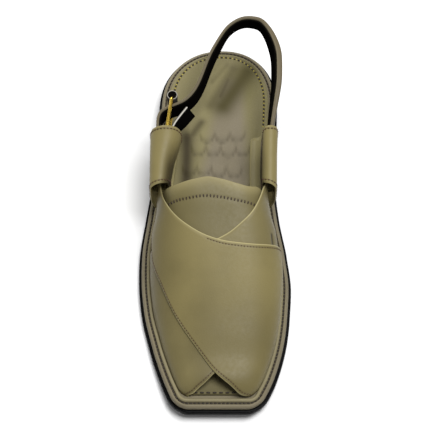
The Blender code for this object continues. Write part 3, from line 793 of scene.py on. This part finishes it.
# Tongue: turn, rear edge along, front edge along
TONGUE = np.array([
    (-66, 0.478, 0.600),
    (-51, 0.478, 0.640),
    (-39, 0.482, 0.670),
    (-19, 0.474, 0.700),
    (-7, 0.469, 0.706),
    (5, 0.474, 0.706),
    (20, 0.484, 0.700),
    (30, 0.488, 0.680),
    (43, 0.482, 0.640),
    (66, 0.478, 0.600)])

# Row of cross stitches on the tongue: turn, along
CROSS_ROW = np.array([
    (-46, 0.5180),
    (-28, 0.5170),
    (-11, 0.5130),
    (3, 0.5165),
    (18, 0.5235),
    (36, 0.5280)])


def last_point(along, turn):
    """Points of the last: a squared ellipse in each section, flared and with its ridge inwards."""
    share = along / WELT_LENGTH
    end = WELT_LENGTH - FOOT_INSET
    into = np.clip((along - end + TOE_ROUND) / TOE_ROUND, 0, 1)
    tall = INSTEP_HEIGHT * smooth(LAST, 1, share) * np.sqrt(1 - into ** 2)
    wide = half_width(along, FOOT_INSET * smooth(LAST, 5, share), FOOT_CORNER)
    square = smooth(LAST, 2, share)
    angle = np.radians(turn)
    reach = (np.abs(np.sin(angle)) ** square + np.abs(np.cos(angle)) ** square) ** (-1 / square)
    x = middle(along) + wide * np.sin(angle) * reach
    x = x + HALF_WIDTH * smooth(LAST, 4, share) * np.sin(2 * angle)
    x = x + HALF_WIDTH * smooth(LAST, 3, share) * np.cos(angle) ** 2
    return place(x, along, welt_top(along) + GAP + tall * np.cos(angle) * reach)


def last_normal(along, turn):
    """Outward normals of the last, from points a little ahead and aside."""
    step, bit = 0.0005, 0.5
    ahead = last_point(along + step, turn) - last_point(along - step, turn)
    across = last_point(along, turn + bit) - last_point(along, turn - bit)
    return unit(np.cross(ahead, across))


def off_last(along, turn, lift):
    """Points at a distance from the last along its normals, outwards where the lift is positive."""
    return last_point(along, turn) + last_normal(along, turn) * np.asarray(lift)[..., None]


def close_to_ends(count):
    """Places from 0 to 1, closer spaced towards both ends."""
    even = np.linspace(0, 1, count)
    return 0.45 * even + 0.55 * half_wave(even)


def wrap_round(first_rim, outer, last_rim, inner):
    """Points or values of a shell put in their order round each of its loops."""
    half = RIM_STEPS // 2
    return np.concatenate([first_rim[:, :half][:, ::-1], outer, last_rim, inner[:, ::-1],
                           first_rim[:, half:][:, ::-1]], axis=1)


def sheet_normals(outer, way):
    """Normals of a grid of points from its rows and columns; way turns them over."""
    return way * unit(np.cross(np.gradient(outer, axis=0), np.gradient(outer, axis=1)))


def distances(points):
    """How far each point of a grid lies from its row's first and last point, along the row."""
    gaps = np.linalg.norm(np.diff(points, axis=1), axis=-1)
    first = np.concatenate([np.zeros((len(points), 1)), np.cumsum(gaps, axis=1)], axis=1)
    return first, first[:, -1:] - first


def shell_piece(name, outer, way, wall, finish, slot, stands_for=(), highlight_reach=0.00035, pale=1.0, **shades):
    """A leather sheet with its wall: an outer grid, an inner grid behind it and half-round rims.

    The wall is measured along the sheet's normals and is thinner at the rims. The mark rim is a
    painted highlight, as strong as pale tells at the edges, fading with a bell curve of the distance
    from them; a rim has the painted highlight above and, where there is a seam mark, painted shade
    below. Further painted shades are marked by name.
    """
    nearest = np.minimum(*distances(outer))
    thick = wall * (SKIVED + (1 - SKIVED) * ease(nearest, 0, 0.005))
    inner = outer - thick[..., None] * sheet_normals(outer, way)
    turn = np.linspace(0, np.pi, RIM_STEPS + 2)[None, 1:-1, None]

    def rim(column, beside):
        """Half circle from the outer edge to the inner edge, as wide as the wall."""
        centre = 0.5 * (outer[:, column] + inner[:, column])[:, None]
        up = 0.5 * (outer[:, column] - inner[:, column])[:, None]
        away = unit(outer[:, column] - outer[:, beside])[:, None]
        return centre + up * np.cos(turn) + away * 0.5 * SKIVED * wall * np.sin(turn)

    # Painted highlight along the edges, fading inwards.
    glow = bell(nearest, highlight_reach)
    across_rim = np.tile(np.linspace(0, 1, RIM_STEPS), (len(outer), 1))
    full, deep, none = 1 - ease(across_rim, 0.1, 0.7), 1.5 * ease(across_rim, 0.5, 1.0), np.zeros_like(glow)
    marks = {"rim": pale * wrap_round(full, glow, full, none)}
    for mark, values in shades.items():
        # Painted shade under the rims, added to the seam mark only.
        painted_shade = deep if mark == "seam" else 0 * deep
        marks[mark] = wrap_round(values[:, :1] + painted_shade, values, values[:, -1:] + painted_shade, none)
    loops = wrap_round(rim(0, 1), outer, rim(-1, -2), inner)
    return add_piece(name, loops, tube_quads(*loops.shape[:2]), finish, stands_for, marks)


khaki_leather = leather_finish("khaki_leather_skin", (119, 109, 70), (172, 162, 118), (50, 43, 26))
# A darker copy of the band leather: painted shade on the tongue, which lies below the bands.
shaded_tongue_leather = leather_finish("shaded_tongue_skin", (101, 93, 61), (166, 155, 110), (50, 43, 26))
turn = np.linspace(TONGUE[0, 0], TONGUE[-1, 0], 150)[:, None]
forward = close_to_ends(64)[None, :]
rear, front = smooth(TONGUE, 1, turn), smooth(TONGUE, 2, turn)
along = WELT_LENGTH * (rear + (front - rear) * forward)
behind_row = WELT_LENGTH * smooth(CROSS_ROW, 1, turn) - along
trough = -CROSS_TROUGH * bell(behind_row, 0.0011)
folded = TONGUE_FOLD * bell(along - WELT_LENGTH * rear - 0.0012, 0.0016)
depth = -UPPER_WALL - TONGUE_CLEAR
outer = off_last(along, turn + 0 * forward, depth + trough + folded)
# A wide painted highlight towards the rear edge, and painted shade in the cross stitches' trough.
shell_piece("tongue_dressed", outer, -1, TONGUE_WALL, shaded_tongue_leather, "khaki_leather", ["tongue"],
            highlight_reach=0.0050, pale=0.5, seam=0.3 * bell(behind_row, 0.0012))

turn = np.linspace(CROSS_ROW[0, 0], CROSS_ROW[-1, 0], 200)
along = WELT_LENGTH * smooth(CROSS_ROW, 1, turn)
path, ups = off_last(along, turn, depth - 0.00018 + 0 * turn), last_normal(along, turn)
count = int(np.linalg.norm(np.diff(path, axis=0), axis=1).sum() / CROSS_PITCH)
brown_thread = thread_finish("brown_thread", (30, 22, 15), (66, 52, 36))
slants = 0.5 * np.pi + np.where(np.arange(count) % 2 == 0, CROSS_SLANT, -CROSS_SLANT)
stitches("tongue_cross_stitches", path, ups, CROSS_PITCH, CROSS_LENGTH, CROSS_THREAD, brown_thread,
         slant=slants)

# Under band: one cut of leather from the outer side of the sole over the toes to the inner loop.
# Its front edge is folded and sewn as far as the top band; its foot is held under the rand.
BAND_ROWS = 250
BAND_ACROSS = 84
EDGE_SEAM = 0.0021
EDGE_TROUGH = 0.00026
FOLD_RISE = 0.00010
EDGE_PRESSED = 0.0004
SEAM_PITCH = 0.0022
SEAM_LENGTH = 0.0012
SEAM_THREAD = 0.00068
SEAM_SHADE = 0.0005
THREAD_RISE = 0.30
UNDER_SEWN = 0.42
WALL_SLACK = 0.00009
SLIT_DEPTH = 0.0005
SLIT_LINE = ((0.0408, 0.1705), (0.0415, 0.1775), 0.0007)

# From its foot on the outer side to its tail in the inner loop: front edge along and turn,
# rear edge along and turn, share of the lap it is raised by
UNDER_BAND = np.array([
    (0.973, -90, 0.580, -90, 0),
    (0.9705, -51, 0.607, -64, 0),
    (0.951, -25, 0.624, -40, 0),
    (0.925, -11, 0.626, -19, 0),
    (0.880, 8, 0.606, 1, 0),
    (0.807, 28, 0.575, 17, 0),
    (0.707, 48, 0.541, 31, 0),
    (0.630, 61, 0.507, 41, 0),
    (0.560, 60, 0.476, 48, 0),
    (0.490, 64, 0.452, 54, 0.5),
    (0.407, 63, 0.400, 56, 0.6)])


def through(table, places):
    """Rows of a table at places from 0 at its first row to 1 at its last, by the same cubic."""
    numbered = np.column_stack([np.linspace(0, 1, len(table)), table])
    return np.stack([smooth(numbered, column + 1, places) for column in range(table.shape[1])], axis=-1)


def evened(table, count, reach):
    """A count of rows through a table, smoothed over some rows each way; the end rows stay put."""
    rows = through(table, np.linspace(0, 1, count))
    window = np.hanning(2 * reach + 3)[1:-1]
    longer = np.concatenate([2 * rows[:1] - rows[reach:0:-1], rows, 2 * rows[-1:] - rows[-2:-reach - 2:-1]])
    return np.stack([np.convolve(column, window / window.sum(), "valid") for column in longer.T], axis=1)


def band_place(table, lap, places, across):
    """Along, turn and lift of a band's points, across from 0 at its front edge to 1 at its rear edge."""
    rows = through(table, places)[:, None]
    along = WELT_LENGTH * (rows[..., 0] + (rows[..., 2] - rows[..., 0]) * across)
    turn = rows[..., 1] + (rows[..., 3] - rows[..., 1]) * across
    return along, turn, lap * rows[..., 4] + 0 * along


def pressed_edge(distance):
    """How far a sheet is pressed down towards its edge."""
    return EDGE_PRESSED * bell(distance, 0.0012)


def edge_relief(distance):
    """Profile of a sewn fold by the distance from its edge: a low swell and the trough of the seam."""
    fold = FOLD_RISE * bell(distance - 0.0010, 0.0007)
    return fold - pressed_edge(distance) - EDGE_TROUGH * bell(distance - EDGE_SEAM, 0.00045)


def slack(along, turn):
    """Unevenness of leather drawn over a last by hand: long low waves, as products of sines."""
    first = np.sin(along / 0.0115 + 0.8) * np.sin(np.radians(turn) * 3.1 + 0.4)
    second = np.sin(along / 0.0240 + 2.1 + np.radians(turn) * 1.3)
    return WALL_SLACK * (0.5 * first + 0.5 * second)


def sew_edge(name, table, lap, at_rear, last=0.98):
    """The seam beside a band's front or rear edge as far as a place, sunk into its trough."""
    places = np.linspace(0.02, last, 500)
    start, bit = (1.0, -0.02) if at_rear else (0.0, 0.02)
    edge_along, edge_turn, _ = band_place(table, lap, places, start)
    near_along, near_turn, _ = band_place(table, lap, places, start + bit)
    gap = np.linalg.norm(last_point(near_along, near_turn) - last_point(edge_along, edge_turn), axis=-1)
    share = start + bit * EDGE_SEAM / np.maximum(gap, 1e-5)
    along, turn, lift = band_place(table, lap, places, share)
    sunk = lift - EDGE_TROUGH + THREAD_RISE * SEAM_THREAD + slack(along, turn)
    path, ups = off_last(along, turn, sunk)[:, 0], last_normal(along, turn)[:, 0]
    stitches(name, path, ups, SEAM_PITCH, SEAM_LENGTH, SEAM_THREAD, seam_thread)


def painted_band_shade(along, turn):
    """Painted shade on the bands: over the toes, on the outer flank and above the inner foot."""
    toes = ease(along, 0.195, 0.245) * (1 - ease(-turn, 20, 50))
    outer_flank = ease(-turn, 22, 52) * (1 - 0.8 * ease(along, 0.190, 0.235))
    inner_flank = 0.6 * ease(turn, 30, 58) * (1 - ease(along, 0.165, 0.190))
    return np.maximum.reduce([toes, outer_flank, inner_flank])


def band_piece(name, table, lap, way, wall, finish, stands_for, sewn_to, slit=0.0):
    """A crossed band: a sheet on the last, sewn along its front edge, and its rear edge as far as a place.

    A slit of the given depth is cut at the inner foot, where the top band's rear edge ends, and
    darkened with painted shade.
    """
    places, across = np.linspace(0, 1, BAND_ROWS), close_to_ends(BAND_ACROSS)[None, :]
    along, turn, lift = band_place(table, lap, places, across)
    from_front, from_rear = distances(off_last(along, turn, lift))
    at_rear = 1 - ease(places, sewn_to - 0.02, sewn_to + 0.02)[:, None]
    relief = edge_relief(from_front) + at_rear * edge_relief(from_rear)
    relief = relief - (1 - at_rear) * pressed_edge(from_rear)
    outer = off_last(along, turn, lift + relief + slack(along, turn))
    # Painted shade in the troughs beside the sewn edges.
    seam, rear_seam = (bell(distance - EDGE_SEAM, SEAM_SHADE) for distance in (from_front, from_rear))
    seam = np.maximum(seam, at_rear * rear_seam)
    cut = beside_line(outer, *SLIT_LINE) if slit else 0 * seam
    outer, seam = outer - slit * cut[..., None] * (1.0, 0.0, 0.0), np.maximum(seam, 2.4 * cut)
    # The rim mark of shell_piece paints a highlight along the band's edges.
    return shell_piece(name, outer, way, wall, finish, "khaki_leather", stands_for, seam=seam,
                       tone=painted_band_shade(along, turn))


seam_thread = thread_finish("seam_thread", (46, 30, 20), (84, 58, 40))
UNDER_BAND = evened(UNDER_BAND, 200, 9)
under_leather = leather_finish("under_band_skin", (110, 101, 66), (166, 156, 112), (46, 40, 25))
band_piece("under_band", UNDER_BAND, 0.0, 1, UPPER_WALL, under_leather, ["upper"], sewn_to=-1,
           slit=SLIT_DEPTH)
sew_edge("under_band_front_stitches", UNDER_BAND, 0.0, at_rear=False, last=UNDER_SEWN)

# Top band: the same cut turned over, from the inner side of the sole across the under band to
# the outer loop. It stands proud of the under band, and its rear edge is sewn up to the crown.
LAP = 0.0016
TOP_WALL = 0.0014
TOP_SEWN = 0.40

# From its foot on the inner side to its tail in the outer loop, same columns
TOP_BAND = np.array([
    (0.973, 90, 0.580, 90, 0),
    (0.9715, 38, 0.607, 60, 1),
    (0.950, 7, 0.626, 24, 1),
    (0.925, -11, 0.622, 3, 1),
    (0.880, -25, 0.607, -14, 1),
    (0.807, -41, 0.578, -27, 1),
    (0.706, -53, 0.542, -38, 1),
    (0.632, -63, 0.504, -47, 0.8),
    (0.552, -66, 0.472, -53, 0.2),
    (0.483, -64, 0.448, -55, 0.3),
    (0.407, -64, 0.400, -56, 0.8)])

TOP_BAND = evened(TOP_BAND, 200, 9)
band_piece("top_band", TOP_BAND, LAP, -1, TOP_WALL, khaki_leather, ["upper"], sewn_to=TOP_SEWN)
sew_edge("top_band_front_stitches", TOP_BAND, LAP, at_rear=False)
sew_edge("top_band_rear_stitches", TOP_BAND, LAP, at_rear=True, last=TOP_SEWN)

# Quarters: a side panel on each side whose top is rolled over and sewn down as a loop that holds
# the heel strap and the end of a band. The foot of its lining is turned in over the insole.
QUARTER_WALL = 0.0018
LINING_RISE = 0.0012
QUARTER_ROUND = 190
QUARTER_ACROSS = 60
ROLL_END = 0.80
MOUTH_PITCH = 0.0025
MOUTH_LENGTH = 0.0015
MOUTH_THREAD = 0.0009
FOLD_SUNK = 0.0004

# Loops: along, lowest and highest point of the hollow as shares of the instep, then how far
# out its wall stands and its breadth as shares of half the ball width, outer and inner side
LOOP = np.array([
    (0.300, 0.820, 1.205, 0.840, 0.372, 0.818, 0.134),
    (0.340, 0.800, 1.177, 0.844, 0.353, 0.814, 0.134),
    (0.400, 0.754, 1.123, 0.846, 0.260, 0.803, 0.134),
    (0.480, 0.689, 1.057, 0.846, 0.186, 0.796, 0.138)])

# Ends of the quarter: place round it from the foot of the wall to the end of the roll, rear
# edge and front edge along
QUARTER = np.array([
    (0.00, 0.280, 0.474),
    (0.20, 0.290, 0.475),
    (0.33, 0.314, 0.477),
    (0.50, 0.324, 0.478),
    (0.62, 0.324, 0.470),
    (0.80, 0.332, 0.456),
    (1.00, 0.332, 0.456)])


def quarter_point(along, place_round, side):
    """The quarter's hollow side: up the wall, a half circle over the top, down and back under it."""
    share = along / WELT_LENGTH
    low, high = INSTEP_HEIGHT * smooth(LOOP, 1, share), INSTEP_HEIGHT * smooth(LOOP, 2, share)
    columns = (3, 4) if side < 0 else (5, 6)
    top, breadth = (HALF_WIDTH * smooth(LOOP, column, share) for column in columns)
    radius = 0.5 * breadth
    base = welt_top(along) + GAP
    foot = last_point(along, 90 * side)[..., 0] + side * GAP
    rise = np.clip(place_round / 0.5, 0, 1)
    over = np.clip((place_round - 0.5) / 0.2, 0, 1)
    down = np.clip((place_round - 0.7) / 0.12, 0, 1)
    under = np.clip((place_round - 0.82) / 0.18, 0, 1)
    angle = np.pi * (over + ROLL_END * under)
    tall = high - radius - base
    flare = half_wave(np.clip(rise * tall / (low - base), 0, 1))
    x = foot + (side * top - foot) * flare - side * radius * (1 - np.cos(angle))
    z = base + rise * tall + radius * np.sin(angle) - (high - low - breadth) * down
    return place(x, along, z)


def quarter_grid(side, place_round, across):
    """A quarter's outer side, across from 0 at its rear edge to 1 at its front edge."""
    rear, front = smooth(QUARTER, 1, place_round), smooth(QUARTER, 2, place_round)
    along = WELT_LENGTH * (rear + (front - rear) * across)
    hollow = quarter_point(along, place_round + 0 * across, side)
    return hollow + QUARTER_WALL * sheet_normals(hollow, side)


def quarter_piece(name, side, node, crease_shade):
    """A quarter with its rolled loop, painted shade in the dented fold towards the foot, and its mouths'
    seams.
    """
    place_round, across = np.linspace(0, 1, QUARTER_ROUND)[:, None], close_to_ends(QUARTER_ACROSS)[None, :]
    plain = quarter_grid(side, place_round, across)
    normals, (from_rear, from_front) = sheet_normals(plain, side), distances(plain)
    nearest = np.minimum(from_rear, from_front)
    fold = ease(place_round, 0.585, 0.665) * (1 - ease(place_round, 0.80, 0.84))
    # Painted shade in the fold where the roll turns in towards the foot.
    painted_crease_shade = crease_shade * fold * ease(across, 0.15, 0.75)
    outer = plain + normals * (edge_relief(nearest) - FOLD_SUNK * painted_crease_shade)[..., None]
    seam = np.maximum(bell(nearest - EDGE_SEAM, SEAM_SHADE), 2.2 * painted_crease_shade)
    # A faint painted highlight along the edges, by the rim mark.
    shell_piece(name + "_dressed", outer, side, QUARTER_WALL, khaki_leather, "khaki_leather", [node],
                pale=0.15, seam=seam)
    for mouth, distance in (("rear", from_rear), ("front", from_front)):
        rows, pick = np.arange(len(plain)), np.argmin(np.abs(distance - EDGE_SEAM), axis=1)
        ups = normals[rows, pick]
        path = plain[rows, pick] - ups * (EDGE_TROUGH - THREAD_RISE * MOUTH_THREAD)
        stitches(f"{name}_{mouth}_stitches", path, ups, MOUTH_PITCH, MOUTH_LENGTH, MOUTH_THREAD, seam_thread)


def lining_edge(name, side, first, last, reach):
    """The turned-in foot of a quarter's lining: a low pad from the wall over the insole's edge."""
    along = np.linspace(first, last, 120)
    into = np.clip((along - first) / 0.004, 0, 1)
    wide = reach * np.sqrt(1 - (1 - into) ** 2)
    wall = last_point(along, 90 * side)[:, 0] - side * 0.0006
    path = place(wall, along, welt_top(along) + GAP)
    tall = (INSOLE_THICK + LINING_RISE) * (0.55 + 0.45 * into)
    run = np.array((0.0, 0.0, 0.35, 0.55, 0.78, 0.92, 1.0, 1.0))
    height = np.array((0.0, 1.35, 1.02, 0.97, 1.05, 0.93, 0.55, 0.0))
    section = np.stack([run * wide[:, None], height * tall[:, None]], axis=-1)
    sides = np.tile((-side, 0.0, 0.0), (len(path), 1))
    # Painted shade where the pad meets the wall and the insole, and along a fold on its top.
    painted_crease_shade = np.tile((1.0, 0.3, 0.0, 0.0, 0.5, 0.0, 1.2, 2.0), (len(path), 1))
    sweep(name, path, sides, upright(path), section, turned_leather, marks={"seam": painted_crease_shade})


turned_leather = leather_finish("turned_lining_skin", (142, 133, 93), (168, 158, 112), (50, 43, 26))
quarter_piece("outer_quarter", -1, "quarter_outer", crease_shade=1.0)
quarter_piece("inner_quarter", 1, "quarter_inner", crease_shade=0.35)
lining_edge("outer_lining_edge", -1, 0.0760, 0.1300, 0.0055)
lining_edge("inner_lining_edge", 1, 0.0770, 0.1300, 0.0085)

# Heel strap: a thick khaki strap from the outer loop round the heel to the inner loop, with a
# pale top edge and fuller on the inner side, and a black lining stuck to its inside.
STRAP_WIDTH = 0.015
STRAP_THICK = 0.0030
LINING_THICK = 0.0014
STRAP_STATIONS = 260
STRAP_ROUND = 40
STRAP_FULLER = 0.0017

# Top outer edge across, along and up as shares of half the ball width, the welt's length and
# the instep, its lean in degrees, then how much fuller it is as a share of the most
STRAP = np.array([
    (-0.790, 0.372, 1.074, 0, -0.4),
    (-0.799, 0.334, 1.102, 0, -0.4),
    (-0.803, 0.298, 1.111, 0, -0.4),
    (-0.771, 0.271, 1.115, 0, -0.4),
    (-0.632, 0.253, 1.120, 0, -0.4),
    (-0.457, 0.240, 1.126, 2, -0.4),
    (-0.318, 0.216, 1.156, 4, -0.4),
    (-0.223, 0.182, 1.187, 4, -0.4),
    (-0.112, 0.123, 1.223, 4, -0.4),
    (0.019, 0.076, 1.249, 0, -0.4),
    (0.186, 0.031, 1.278, -7, -0.3),
    (0.418, 0.009, 1.292, -10, -0.1),
    (0.619, 0.013, 1.294, -8, 0.2),
    (0.762, 0.038, 1.287, -1, 0.5),
    (0.874, 0.078, 1.279, 6, 0.8),
    (0.935, 0.124, 1.256, 9, 1.0),
    (0.932, 0.183, 1.216, 9, 1.0),
    (0.888, 0.234, 1.174, 7, 0.7),
    (0.833, 0.283, 1.131, 4, 0.3),
    (0.796, 0.331, 1.102, 0, 0.2),
    (0.784, 0.372, 1.066, 0, 0.0)])


def strap_frames(table, count, reach):
    """Path, outward side and up arrow of a strap that stands on edge and leans, and its further columns."""
    rows = evened(table, count, reach)
    path = place(HALF_WIDTH * rows[:, 0], WELT_LENGTH * rows[:, 1], INSTEP_HEIGHT * rows[:, 2])
    level = unit(np.cross((0, 0, 1), np.gradient(path, axis=0)))
    lean = np.radians(rows[:, 3])[:, None]
    ups = np.cos(lean) * upright(path) + np.sin(lean) * level
    return path, np.cos(lean) * level - np.sin(lean) * upright(path), ups, rows[:, 4:]


def strap_section(outer, inner, wide, squareness):
    """A squared ellipse between two depths behind the top outer edge, with each point's side and height."""
    turn = (np.arange(STRAP_ROUND) + 0.5) * 2 * np.pi / STRAP_ROUND
    side, up = (np.sign(part) * np.abs(part) ** (2 / squareness) for part in (np.cos(turn), np.sin(turn)))
    deep = 0.5 * (inner - outer) * side - 0.5 * (inner + outer)
    return np.stack([deep, 0.5 * wide * (up - 1)], axis=-1), side, up


path, sides, ups, fuller = strap_frames(STRAP, STRAP_STATIONS, 9)
section, side, up = strap_section(0, STRAP_THICK, STRAP_WIDTH, 4.0)
strap_leather = leather_finish("strap_leather_skin", (89, 80, 60), (156, 147, 122), (50, 44, 32))
swollen = section * np.stack([1 + fuller * STRAP_FULLER / STRAP_THICK, np.ones_like(fuller)], axis=-1)
cut_edge = ease(up, 0.70, 0.95) * ease(-side, 0.45, 0.80)
sweep("heel_strap_dressed", path, sides, ups, swollen, strap_leather, ["heel_strap"],
      {"rim": np.tile(cut_edge, (len(path), 1))})


def lining_finish():
    """Black split leather: a short dull nap with faint grey flecks."""
    skin = Finish("black_lining_skin", Specular_IOR_Level=0.0)
    nap = skin.noise(1900, 3)
    shade = skin.blend(nap.ramp(0.45, 0.75) * 0.5, colour_of(8, 7, 6), colour_of(20, 18, 16))
    shade = skin.blend(skin.marked("rim"), shade, colour_of(184, 180, 170))
    skin.coat(shade, 0.62 + nap * 0.15, nap, 0.0001)
    return skin


black_lining = lining_finish()
depth = STRAP_THICK + GAP
section, _, _ = strap_section(depth, depth + LINING_THICK, STRAP_WIDTH, 6)
moved = section - np.stack([fuller * STRAP_FULLER, np.zeros_like(fuller)], axis=-1)
sweep("heel_strap_lining_dressed", path, sides, ups, moved, black_lining,
      ["heel_strap_lining"])

# Free end of the strap: it stands out of the outer loop into the shoe, black on the side that
# shows, with a pale line along its cut edge.
TAIL_THICK = 0.0022
TAIL_WIDTH = 0.015
TAIL_SKEW = 0.23

# Its top outer edge and lean, in the first four columns of the strap's table
TAIL = np.array([
    (-0.584, 0.359, 1.108, 0),
    (-0.584, 0.333, 1.115, 4),
    (-0.546, 0.312, 1.125, 12),
    (-0.465, 0.288, 1.134, 17),
    (-0.372, 0.264, 1.141, 18)])

path, sides, ups, _ = strap_frames(TAIL, 60, 5)
section, side, up = strap_section(0, TAIL_THICK, TAIL_WIDTH, 6)
top_outer = ease(up, 0.90, 0.99) * ease(side, 0.10, 0.50)
ups = unit(ups - TAIL_SKEW * unit(np.gradient(path, axis=0)))
sweep("strap_tail_dressed", path, -sides, ups, section[None], black_lining, ["strap_tail"],
      {"rim": np.tile(top_outer, (len(path), 1))})

# Buckle: a small brass frame bent from rod, at the rear mouth of the outer loop. A black wrap
# goes round its rear bar, and a prong starts at its front bar.
BUCKLE_WIRE = 0.0026
BUCKLE_HEIGHT = 0.0186
BUCKLE_CORNER = 0.003
ROLLER_RADIUS = 0.0038
PRONG_WIRE = 0.0018
PRONG_LENGTH = 0.0119
WRAP_BACK = 0.0015
ROD_ROUND = 16
WRAP_ROUND = 40

# Middles of its front and rear bar: across, along and up as shares of half the ball width, the
# welt's length and the instep
BUCKLE_FRONT = (-0.654, 0.328, 0.998)
BUCKLE_REAR = (-0.587, 0.234, 0.998)


def brass_finish():
    """Polished brass with fine rub marks and a faint brown tarnish."""
    metal = Finish("polished_brass", Metallic=1.0)
    tarnish = metal.noise(260, 4)
    rubs = metal.noise(3000, 2)
    shade = metal.blend(tarnish.ramp(0.5, 0.75) * 0.2, (0.72, 0.50, 0.08, 1), (0.34, 0.21, 0.04, 1))
    metal.coat(shade, 0.24 + tarnish.ramp(0.4, 0.7) * 0.06, rubs, 0.000003)
    return metal


brass = brass_finish()
front_bar, rear_bar = (place(HALF_WIDTH * x, WELT_LENGTH * along, INSTEP_HEIGHT * z)
                       for x, along, z in (BUCKLE_FRONT, BUCKLE_REAR))
length = np.linalg.norm(front_bar - rear_bar)
ahead = (front_bar - rear_bar) / length
level = unit(np.cross(ahead, (0, 0, 1)))
turn = np.radians(np.linspace(0, 90, 9)[None, :] + np.array((0, 90, 180, 270))[:, None])
quadrant = np.sign(np.stack([np.cos(turn[:, 4]), np.sin(turn[:, 4])], axis=-1))[:, None]
half_size = np.array((0.5 * length, 0.5 * BUCKLE_HEIGHT)) - BUCKLE_CORNER
bends = quadrant * half_size + BUCKLE_CORNER * np.stack([np.cos(turn), np.sin(turn)], axis=-1)
# Once round and back to the first bend, with one more before and behind for the directions
round_again = np.arange(-1, turn.size + 2) % turn.size
bends = bends.reshape(-1, 2)[round_again]
path = 0.5 * (front_bar + rear_bar) + ahead * bends[:, :1] + np.array((0, 0, 1)) * bends[:, 1:]
turn = np.linspace(0, 2 * np.pi, ROD_ROUND, endpoint=False)
circle = np.stack([np.cos(turn), np.sin(turn)], axis=-1)[None]
ups = np.cross(unit(path[2:] - path[:-2]), level)
sweep("buckle_frame_dressed", path[1:-1], level[None], ups, circle * 0.5 * BUCKLE_WIRE, brass,
      ["buckle_frame"], endless=True)

prong_run = np.linspace(0, 1, 24)[:, None]
path = front_bar - ahead * (0.5 * BUCKLE_WIRE + GAP + PRONG_LENGTH * prong_run)
radii = 0.5 * PRONG_WIRE * np.sqrt(np.clip(8 * (1 - prong_run), 0.02, 1))
sweep("buckle_prong_dressed", path, level[None], np.cross(-ahead, level)[None], circle * radii[..., None],
      brass, ["buckle_prong"])

wrap_low, wrap_top = -0.5 * BUCKLE_HEIGHT + BUCKLE_CORNER, 0.5 * BUCKLE_HEIGHT
wrap_profile = np.array([
    (0.0, wrap_low), (ROLLER_RADIUS - 0.0008, wrap_low), (ROLLER_RADIUS, wrap_low + 0.0008),
    (ROLLER_RADIUS, wrap_top - 0.0003), (ROLLER_RADIUS - 0.0001, wrap_top),
    (ROLLER_RADIUS - 0.0004, wrap_top), (ROLLER_RADIUS - 0.0006, wrap_top - 0.0004),
    (0.0, wrap_top - 0.0006)])
turn = np.linspace(0, 2 * np.pi, WRAP_ROUND)[:, None]
radii, heights = wrap_profile.T
points = np.stack([radii * np.cos(turn), radii * np.sin(turn), heights + 0 * turn], axis=-1)
points = rear_bar - WRAP_BACK * ahead + points
pale_rim = np.tile((0, 0, 0, 0.1, 0.8, 0.7, 0, 0), (WRAP_ROUND, 1))
add_piece("buckle_wrap", points, grid_quads(*pale_rim.shape), black_lining,
          ["buckle_roller"], {"rim": pale_rim})
